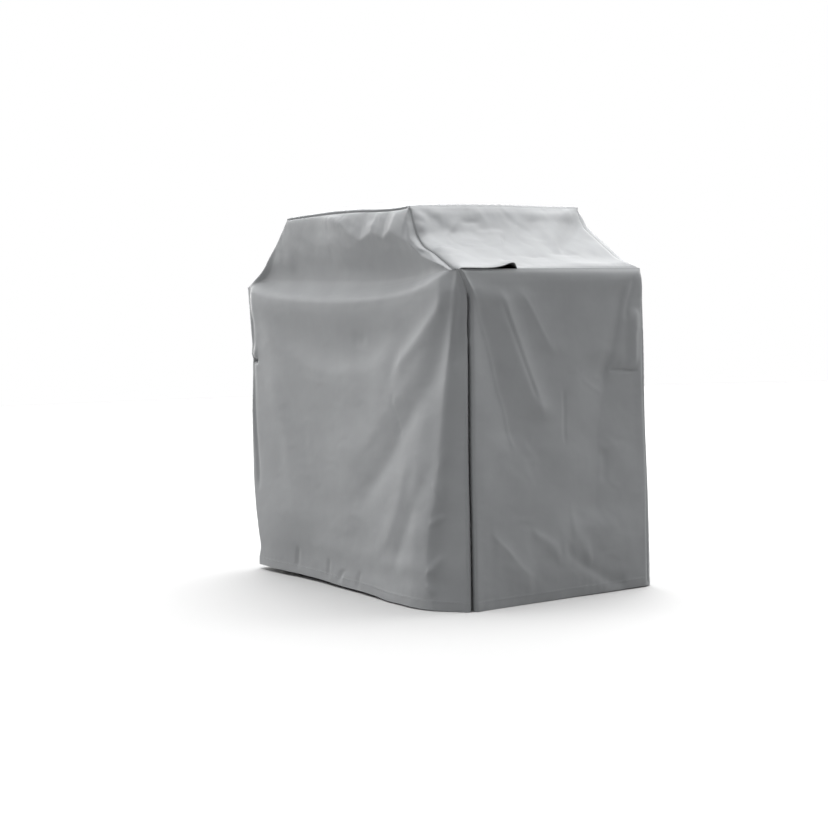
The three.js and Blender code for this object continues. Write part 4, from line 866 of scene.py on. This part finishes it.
def fine_slope(name, y, rise, edge, across):
    """A slope's gathers, facets of three sizes, quiet near the back corner, and its short creases."""
    seed = SIDES[name].seed
    upper = 0.4 + 0.6 * smooth((rise - 60) / 80)
    turned = y if name == "right" else -y
    upper = upper * (1 - 0.8 * patch(turned, rise, (230, 60), 170, 110))
    facets = 5.0 * crumple(1.5 * y, rise, 92, seed + 2) + 2.6 * crumple(1.5 * y, rise + 0.4 * y, 47, seed + 3)
    facets = facets * (1 - 0.85 * patch(turned, rise, (200, 240), 120, 90))
    by_seam = bell((turned + 318) / 26)
    facets = facets + 6.0 * crumple(y + 0.6 * rise, rise, 30, seed + 5) * by_seam
    by_hand = 1.6 * sum(crease_height(crease, turned, rise) for crease in SLOPE_CREASES)
    along = np.where((across < 0.04) | (across > 0.96), rise, y)
    return puckers(edge, along, seed, 0.4) + (facets * upper + by_hand) * smooth(edge / 26)


def fine_top(x, y, edge):
    """The top's gathers and flat facets of two sizes."""
    facets = 4.5 * crumple(x, y, 96, 9) + 1.6 * crumple(x + y, y, 45, 10)
    return puckers(edge, np.where(np.abs(y) > 290, x, y), 9, 0.7) + facets * smooth(edge / 40)


# From panels to closed sheets.


def graded(count, nearest, growth, widest):
    """Shares from 0 to 1 whose steps grow from both ends."""
    k = np.minimum(np.arange(count), np.arange(count)[::-1])
    steps = np.minimum(widest, nearest * growth**k)
    return np.concatenate([[0], np.cumsum(steps)]) / steps.sum()


# Rows and columns of the grids, closer together at the hem, the seams and the corner ridges.
HEM_ROWS = np.array([0, 5, 11, 17, 22, 25.5, 27.2, 28.4, 30, 33, 37.5]) / WALL_HEIGHT
HEM_DOUBLED = 8  # so many of them have the doubled cloth
BODY_ROWS = np.linspace(43 / WALL_HEIGHT, 1, 157)[:-1]
SHOULDER_ROWS = 1 - np.array([17, 12.5, 9.2, 6.6, 4.5, 2.8, 1.4, 0]) / WALL_HEIGHT
WALL_ROWS = np.concatenate([HEM_ROWS, BODY_ROWS[BODY_ROWS < 1 - 21 / WALL_HEIGHT], SHOULDER_ROWS])
HIP_ROWS = graded(58, 1.2, 1.3, 6.2)
LONG_ROWS = np.concatenate([WALL_ROWS, 1 + HIP_ROWS[1:]])
STRIP = 1 - (1 - np.arange(1, 23) / 22) ** 2
FACE = graded(140, 3.4, 1.08, 9.0)
LONG_COLUMNS = np.concatenate([-STRIP[::-1], FACE, 1 + STRIP])
END_COLUMNS = graded(128, 0.8, 1.22, 6.0)


def grid_of(make, name, columns, rows):
    """A panel's points, rows upwards, columns so that the outside faces out."""
    return make(name, columns[None, :], rows[:, None])


front = grid_of(long_wall, "front", LONG_COLUMNS, LONG_ROWS)
back = grid_of(long_wall, "back", LONG_COLUMNS, LONG_ROWS)


def shares_of(row):
    """Where each point of a row lies along X, as a share."""
    return (row[:, 0] - row[0, 0]) / (row[-1, 0] - row[0, 0])


front_shares, back_shares = shares_of(front[-1]), shares_of(back[-1][::-1])
depths = END_COLUMNS[:, None]
grids = {
    "top_panel": top(mix(front_shares[None, :], back_shares[None, :], depths), depths),
    "front_panel": front,
    "back_panel": back,
    "end_wall_right": grid_of(end_wall, "right", END_COLUMNS, WALL_ROWS),
    "end_wall_left": grid_of(end_wall, "left", 1 - END_COLUMNS[::-1], WALL_ROWS),
    "end_slope_right": grid_of(slope, "right", END_COLUMNS, HIP_ROWS),
    "end_slope_left": grid_of(slope, "left", 1 - END_COLUMNS[::-1], HIP_ROWS),
}


def facings_of(grid):
    """Outward direction at each point, square to the lines to its neighbours."""
    return unit(np.cross(np.gradient(grid, axis=1), np.gradient(grid, axis=0)))


def rim_of(rows, columns):
    """Indices round the edge of a grid, counterclockwise seen from outside."""
    index = np.arange(rows * columns).reshape(rows, columns)
    return np.concatenate([index[0, :-1], index[:-1, -1], index[-1, :0:-1], index[:0:-1, 0]])


facings = {name: facings_of(grid) for name, grid in grids.items()}
rims = {name: rim_of(*grid.shape[:2]) for name, grid in grids.items()}
rim_points = np.concatenate([grids[name].reshape(-1, 3)[rim] for name, rim in rims.items()])
rim_facings = np.concatenate([facings[name].reshape(-1, 3)[rim] for name, rim in rims.items()])


def closed_sheet(name):
    """Outside, inside one cloth thickness in, and the rim between them, as points and four-sided faces.
    Panels that meet in a seam share one inward direction there, so that their thicknesses meet in a
    mitre."""
    grid, facing, rim = grids[name], facings[name], rims[name]
    rows, columns = grid.shape[:2]
    outside = grid.reshape(-1, 3).copy()
    inward = -facing.reshape(-1, 3)
    gaps = ((outside[rim][:, None] - rim_points[None]) ** 2).sum(-1)
    meeting = (gaps < SEAM_MEETS).astype(float)
    shared = unit(meeting @ rim_facings)
    least = np.where(meeting > 0, np.einsum("ik,jk->ij", shared, rim_facings), 1).min(1)
    inward[rim] = -shared / np.maximum(0.6, least)[:, None]
    pull = np.zeros_like(grid)
    pull[:, 0] += unit(grid[:, 1] - grid[:, 0])
    pull[:, -1] += unit(grid[:, -2] - grid[:, -1])
    pull[0] += unit(grid[1] - grid[0])
    pull[-1] += unit(grid[-2] - grid[-1])
    outside += pull.reshape(-1, 3) * SEAM_INSET
    thick = np.full((rows, columns), CLOTH)
    if name not in ("top_panel", "end_slope_right", "end_slope_left"):
        thick[:HEM_DOUBLED] = HEM_CLOTH
    inside = outside + inward * thick.reshape(-1, 1)
    count = rows * columns
    a = np.arange(count).reshape(rows, columns)[:-1, :-1].ravel()
    outer = np.stack([a, a + 1, a + columns + 1, a + columns], -1)
    b = np.roll(rim, -1)
    edge_faces = np.stack([b, rim, count + rim, count + b], -1)
    return np.concatenate([outside, inside]), outer, outer[:, ::-1] + count, edge_faces


def run_of(grid, axis):
    """Distance walked along each row (axis 1) or column (axis 0) of a grid of points."""
    steps = length_of(np.diff(grid, axis=axis))
    return np.cumsum(np.concatenate([0 * steps.take([0], axis), steps], axis), axis)


def line_beside(node, side, distance):
    """Points and outward directions along one side of a panel at a distance from it. Each row of the grid
    is walked inwards from that side until the distance is reached."""
    grid, facing = grids[node], facings[node]
    if side in ("bottom", "top"):
        grid, facing = grid.transpose(1, 0, 2), facing.transpose(1, 0, 2)
    if side in ("top", "right"):
        grid, facing = grid[:, ::-1], facing[:, ::-1]
    walked = run_of(grid, 1)
    k, i = np.arange(len(grid)), np.clip((walked < distance).sum(1) - 1, 0, grid.shape[1] - 2)
    share = ((distance - walked[k, i]) / (walked[k, i + 1] - walked[k, i]))[:, None]
    return mix(grid[k, i], grid[k, i + 1], share), unit(mix(facing[k, i], facing[k, i + 1], share))


def thread_row(points, outward):
    """Stitches along a line: from each middle, its direction and its outward direction, one arched
    thread."""
    walked = run_of(points, 0)
    middles = np.arange(STITCH_MARGIN, walked[-1] - STITCH_MARGIN, STITCH_PITCH)

    def at(s, values):
        return np.stack([np.interp(s, walked, values[:, axis]) for axis in range(3)], -1)

    along = unit(at(middles + 2, points) - at(middles - 2, points))
    up = at(middles, outward)
    up = unit(up - along * (up * along).sum(-1, keepdims=True))
    axes = np.stack([along, np.cross(up, along), up], 1)
    return np.einsum("tk,nkc->ntc", THREAD, axes) + at(middles, points)[:, None]


def thread_shape():
    """One stitch: rings of four points along an arch whose ends dive into the cloth, closed by a face at
    each end."""
    along = np.array([-1, -0.92, -0.55, 0, 0.55, 0.92, 1])
    thick = np.array([0.4, 0.8, 1, 1, 1, 0.8, 0.4]) * THREAD_RADIUS
    middle = 0.3 - 0.7 * along**4
    turn = np.pi / 4 + np.pi / 2 * np.arange(4)
    across = thick[:, None] * np.cos(turn)
    lift = middle[:, None] + thick[:, None] * np.sin(turn)
    length = np.repeat(along[:, None] * STITCH_LENGTH / 2, 4, 1)
    points = np.stack([length, across, lift], -1).reshape(-1, 3)
    ring, k = np.meshgrid(np.arange(6), np.arange(4), indexing="ij")
    first, second = 4 * ring + k, 4 * ring + (k + 1) % 4
    sides = np.stack([first, second, second + 4, first + 4], -1).reshape(-1, 4)
    return points, np.concatenate([sides, [[3, 2, 1, 0], [24, 25, 26, 27]]])


THREAD, THREAD_FACES = thread_shape()


def placed(name, data):
    """A new object in the scene, from its data."""
    made = bpy.data.objects.new(name, data)
    bpy.context.scene.collection.objects.link(made)
    return made


def mesh_object(name, points, faces, materials, kinds=None, uv=None):
    """An object from points in metres and four-sided faces, smooth, with a material for each kind of
    face."""
    mesh = bpy.data.meshes.new(name)
    mesh.vertices.add(len(points))
    mesh.vertices.foreach_set("co", points.astype(np.float32).ravel())
    mesh.loops.add(faces.size)
    mesh.loops.foreach_set("vertex_index", faces.astype(np.int32).ravel())
    mesh.polygons.add(len(faces))
    mesh.polygons.foreach_set("loop_start", np.arange(0, faces.size, faces.shape[1], dtype=np.int32))
    mesh.polygons.foreach_set("use_smooth", np.ones(len(faces), bool))
    for material in materials:
        mesh.materials.append(material)
    if kinds is not None:
        mesh.polygons.foreach_set("material_index", kinds.astype(np.int32))
    if uv is not None:
        layer = mesh.uv_layers.new(name="cloth_mm")
        layer.data.foreach_set("uv", uv[faces.ravel()].astype(np.float32).ravel())
    mesh.validate()
    mesh.update(calc_edges=True)
    mesh.set_sharp_from_angle(angle=math.radians(SHARP_ANGLE))
    return placed(name, mesh)


def to_frame(points):
    """From millimetres above the ground to metres in the part's frame."""
    return points * 0.001 + np.array([0, 0, GROUND])


# The camera.


def aim(azimuth, pitch, roll, distance, aside, height, focal):
    """The photo's view: back along the azimuth by distance, aside and above the ground in metres, focal in
    pixels."""
    azimuth, pitch, roll = (math.radians(v) for v in (azimuth, pitch, roll))
    away = Vector((math.sin(azimuth), -math.cos(azimuth), 0))
    level = Vector((math.cos(azimuth), math.sin(azimuth), 0))
    look = -away * math.cos(pitch) - Vector((0, 0, 1)) * math.sin(pitch)
    upright = level.cross(look)
    right = level * math.cos(roll) + upright * math.sin(roll)
    up = -level * math.sin(roll) + upright * math.cos(roll)
    data = bpy.data.cameras.new("camera")
    data.sensor_width, data.lens = SENSOR, focal * SENSOR / PHOTO_WIDTH
    camera = placed("camera", data)
    place = Matrix((right, up, -look)).transposed().to_4x4()
    place.translation = away * distance + level * aside + Vector((0, 0, GROUND + height))
    camera.matrix_world = place
    bpy.context.scene.camera = camera


aim(azimuth=56.52, pitch=3.12, roll=-1.75, distance=5.53, aside=-0.071, height=0.821, focal=1751)


# The materials.


def linear(code):
    """An sRGB hex colour as linear values."""
    values = np.array([int(code[i : i + 2], 16) for i in (1, 3, 5)]) / 255
    values = np.where(values <= 0.04045, values / 12.92, ((values + 0.055) / 1.055) ** 2.4)
    return (*values.tolist(), 1.0)


def add(tree, kind, links=None, **settings):
    """A node with its settings, and links from sockets (or plain values) to its inputs."""
    node = tree.nodes.new(kind)
    for key, value in settings.items():
        setattr(node, key, value)
    for key, value in (links or {}).items():
        if isinstance(value, bpy.types.NodeSocket):
            tree.links.new(value, node.inputs[key])
        else:
            node.inputs[key].default_value = value
    return node


def empty_tree(owner):
    """The cleared nodes of a material or a world."""
    owner.use_nodes = True
    owner.node_tree.nodes.clear()
    return owner.node_tree


# Patterns in the cloth, to the metre: soft patches 140 mm wide and small creases 26 mm. The weave follows
# the UV map, which is in millimetres. Its threads lie 0.6 mm apart and are drawn at 2.5 mm, so that they
# show.
PATCHES, SMALL_CREASES, WEAVE = 7.0, 38.0, 0.4


def coated_polyester():
    """Woven polyester with a polyurethane coat, calendered: a mid grey with a satin gloss. The coat's slight
    unevenness gives soft patches, the weave a fine grain, and handling has left small creases."""
    material = bpy.data.materials.new("coated_woven_polyester")
    tree = empty_tree(material)
    where = add(tree, "ShaderNodeTexCoord").outputs
    links = {"Vector": where["Object"], "Scale": PATCHES, "Detail": 4.0, "Roughness": 0.55}
    patches = add(tree, "ShaderNodeTexNoise", links)
    links = {"Value": patches.outputs["Fac"], "From Min": 0.3, "From Max": 0.7}
    tone = add(tree, "ShaderNodeMapRange", links)
    links = {"Factor": tone.outputs["Result"], "A": linear("#8b8d8f"), "B": linear("#929496")}
    colour = add(tree, "ShaderNodeMix", links, data_type="RGBA")
    links = {"Vector": where["UV"], "Scale": WEAVE, "Distortion": 0.6, "Detail": 1.0}
    warp, weft = (add(tree, "ShaderNodeTexWave", links, bands_direction=way) for way in "XY")
    links = {0: warp.outputs["Fac"], 1: weft.outputs["Fac"]}
    weave = add(tree, "ShaderNodeMath", links, operation="MULTIPLY")
    links = {"Height": weave.outputs["Value"], "Strength": 0.05, "Distance": 0.0004}
    grain = add(tree, "ShaderNodeBump", links).outputs["Normal"]
    links = {"Vector": where["Object"], "Scale": SMALL_CREASES, "Detail": 5.0, "Roughness": 0.6}
    wrinkles = add(tree, "ShaderNodeTexNoise", links)
    links = {"Height": wrinkles.outputs["Fac"], "Strength": 0.09, "Distance": 0.004, "Normal": grain}
    crinkle = add(tree, "ShaderNodeBump", links)
    links = {"Base Color": colour.outputs["Result"], "Roughness": 0.5, "IOR": 1.5}
    links |= {"Normal": crinkle.outputs["Normal"], "Sheen Weight": 0.12, "Sheen Roughness": 0.5}
    shader = add(tree, "ShaderNodeBsdfPrincipled", links)
    add(tree, "ShaderNodeOutputMaterial", {"Surface": shader.outputs["BSDF"]})
    return material


def mottled_finish(name, greys, roughness, patches, detail):
    """A plain finish that varies softly between two greys, in so many patches to the metre."""
    material = bpy.data.materials.new(name)
    tree = empty_tree(material)
    where = add(tree, "ShaderNodeTexCoord").outputs["Object"]
    spots = add(tree, "ShaderNodeTexNoise", {"Vector": where, "Scale": patches, "Detail": detail})
    links = {"Factor": spots.outputs["Fac"], "A": linear(greys[0]), "B": linear(greys[1])}
    colour = add(tree, "ShaderNodeMix", links, data_type="RGBA").outputs["Result"]
    shader = add(tree, "ShaderNodeBsdfPrincipled", {"Base Color": colour, "Roughness": roughness})
    add(tree, "ShaderNodeOutputMaterial", {"Surface": shader.outputs["BSDF"]})
    return material


cloth_finish = coated_polyester()
# The coated reverse of the cloth: a duller, slightly darker grey, in patches 83 mm wide.
reverse_finish = mottled_finish(
    "polyurethane_coated_reverse", ("#6f7173", "#7a7c7e"), roughness=0.7, patches=12.0, detail=3.0
)
# Bonded polyester thread: the cloth's grey, a little lighter, with a painted shine along its twist: lighter
# grey spots 1.7 mm wide.
thread_with_painted_shine = mottled_finish(
    "bonded_polyester_thread", ("#8f9193", "#a3a5a7"), roughness=0.45, patches=600.0, detail=1.0
)

# The dressed panels.
Panel = namedtuple("Panel", "node width length area held")
PANELS = rows_of(
    Panel,
    ("top_panel", 0.71, 0.65, 0.45, "stretched"),
    ("front_panel", 1.36, 1.30, 1.40, "draped"),
    ("back_panel", 1.36, 1.30, 1.40, "draped"),
    ("end_wall_right", 0.65, 0.96, 0.61, "hung"),
    ("end_wall_left", 0.65, 0.96, 0.60, "hung"),
    ("end_slope_right", 0.66, 0.35, 0.225, "draped"),
    ("end_slope_left", 0.66, 0.35, 0.225, "draped"),
)
# Rows of stitches: the side of the panel and the distance from it. The hem's row runs just below its
# turned-in edge.
HEM_ROW, SEAM_ROW, SECOND_ROW = ("bottom", 25.0), 6.0, 3.2
LEFT_ROW, RIGHT_ROW, TOP_ROW = ((side, SEAM_ROW) for side in ("left", "right", "top"))
STITCH_ROWS = {
    "top_panel": [],
    "front_panel": [HEM_ROW, LEFT_ROW, RIGHT_ROW, TOP_ROW],
    "back_panel": [HEM_ROW, LEFT_ROW, RIGHT_ROW, TOP_ROW],
    "end_wall_right": [HEM_ROW, TOP_ROW],
    "end_wall_left": [HEM_ROW, TOP_ROW],
    "end_slope_right": [("left", SECOND_ROW), ("left", SEAM_ROW + 1), RIGHT_ROW, TOP_ROW],
    "end_slope_left": [LEFT_ROW, RIGHT_ROW, TOP_ROW],
}
dressed, sewn = {}, {}
for panel in PANELS:
    points, outer, inner, edges = closed_sheet(panel.node)
    faces = np.concatenate([outer, inner, edges])
    kinds = np.concatenate([np.zeros(len(outer)), np.ones(len(inner)), np.zeros(len(edges))])
    along_u, along_v = run_of(grids[panel.node], 1), run_of(grids[panel.node], 0)
    uv = np.stack([along_u - along_u[:, -1:] / 2, along_v], -1).reshape(-1, 2)
    uv = np.concatenate([uv, uv])
    finishes = [cloth_finish, reverse_finish]
    piece = mesh_object("cloth_" + panel.node, to_frame(points), faces, finishes, kinds, uv)
    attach(piece, "root")
    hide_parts(panel.node)
    dressed[panel.node] = piece
    sewn[panel.node] = []
    rows = STITCH_ROWS[panel.node]
    if rows:
        threads = np.concatenate([thread_row(*line_beside(panel.node, *row)) for row in rows])
        faces = THREAD_FACES[None] + len(THREAD) * np.arange(len(threads))[:, None, None]
        points = to_frame(threads.reshape(-1, 3))
        stitches = mesh_object("stitches_" + panel.node, points, faces.reshape(-1, 4), [thread_with_painted_shine])
        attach(stitches, "root")
        sewn[panel.node] = [stitches]


# The studio.


def sun(name, azimuth, elevation, strength):
    """A wide soft light from a compass direction and height, in degrees."""
    a, e = math.radians(azimuth), math.radians(elevation)
    towards = Vector((math.sin(a) * math.cos(e), -math.cos(a) * math.cos(e), math.sin(e)))
    data = bpy.data.lights.new(name, "SUN")
    data.energy, data.angle = strength, math.radians(SUN_SPREAD)
    lamp = placed(name, data)
    lamp.location = towards * SUN_DISTANCE
    lamp.rotation_euler = towards.to_track_quat("Z", "Y").to_euler()


sun("overhead", azimuth=0, elevation=90, strength=4.5)
sun("low_back", azimuth=180, elevation=38, strength=2.1)
sun("left", azimuth=-60, elevation=12, strength=1.62)
sun("far_left", azimuth=-120, elevation=12, strength=3.9)


def floor_finish():
    """White to the eye, while the cloth gets a little less light from it, as from a floor that ends
    nearby."""
    material = bpy.data.materials.new("pale_floor")
    tree = empty_tree(material)
    seen = add(tree, "ShaderNodeLightPath").outputs["Is Camera Ray"]
    links = {"Factor": seen, "A": linear("#9c9c9c"), "B": linear("#b6b6b6")}
    colour = add(tree, "ShaderNodeMix", links, data_type="RGBA").outputs["Result"]
    shader = add(tree, "ShaderNodeBsdfPrincipled", {"Base Color": colour, "Roughness": 0.9})
    add(tree, "ShaderNodeOutputMaterial", {"Surface": shader.outputs["BSDF"]})
    return material


# The floor is a ring of faces round a tiny hole under the middle.
turn = np.linspace(0, 2 * np.pi, FLOOR_SIDES + 1)[:-1]
ring = np.stack([np.cos(turn), np.sin(turn), 0 * turn], -1)
floor_points = np.concatenate([ring * FLOOR_HOLE, ring * FLOOR_RADIUS]) + np.array([0, 0, GROUND])
k = np.arange(FLOOR_SIDES)
after = (k + 1) % FLOOR_SIDES
floor_faces = np.stack([k, k + FLOOR_SIDES, after + FLOOR_SIDES, after], -1)
floor = mesh_object("floor", floor_points, floor_faces, [floor_finish()])

# The surroundings are white to the eye and give the cloth little light.
world = bpy.data.worlds.new("studio")
tree = empty_tree(world)
seen = add(tree, "ShaderNodeLightPath").outputs["Is Camera Ray"]
strength = add(tree, "ShaderNodeMapRange", {"Value": seen, "To Min": 0.07, "To Max": 1.0})
glow = add(tree, "ShaderNodeBackground", {"Color": (1, 1, 1, 1), "Strength": strength.outputs["Result"]})
add(tree, "ShaderNodeOutputWorld", {"Surface": glow.outputs["Background"]})
bpy.context.scene.world = world
bpy.context.scene.view_settings.view_transform = "Standard"
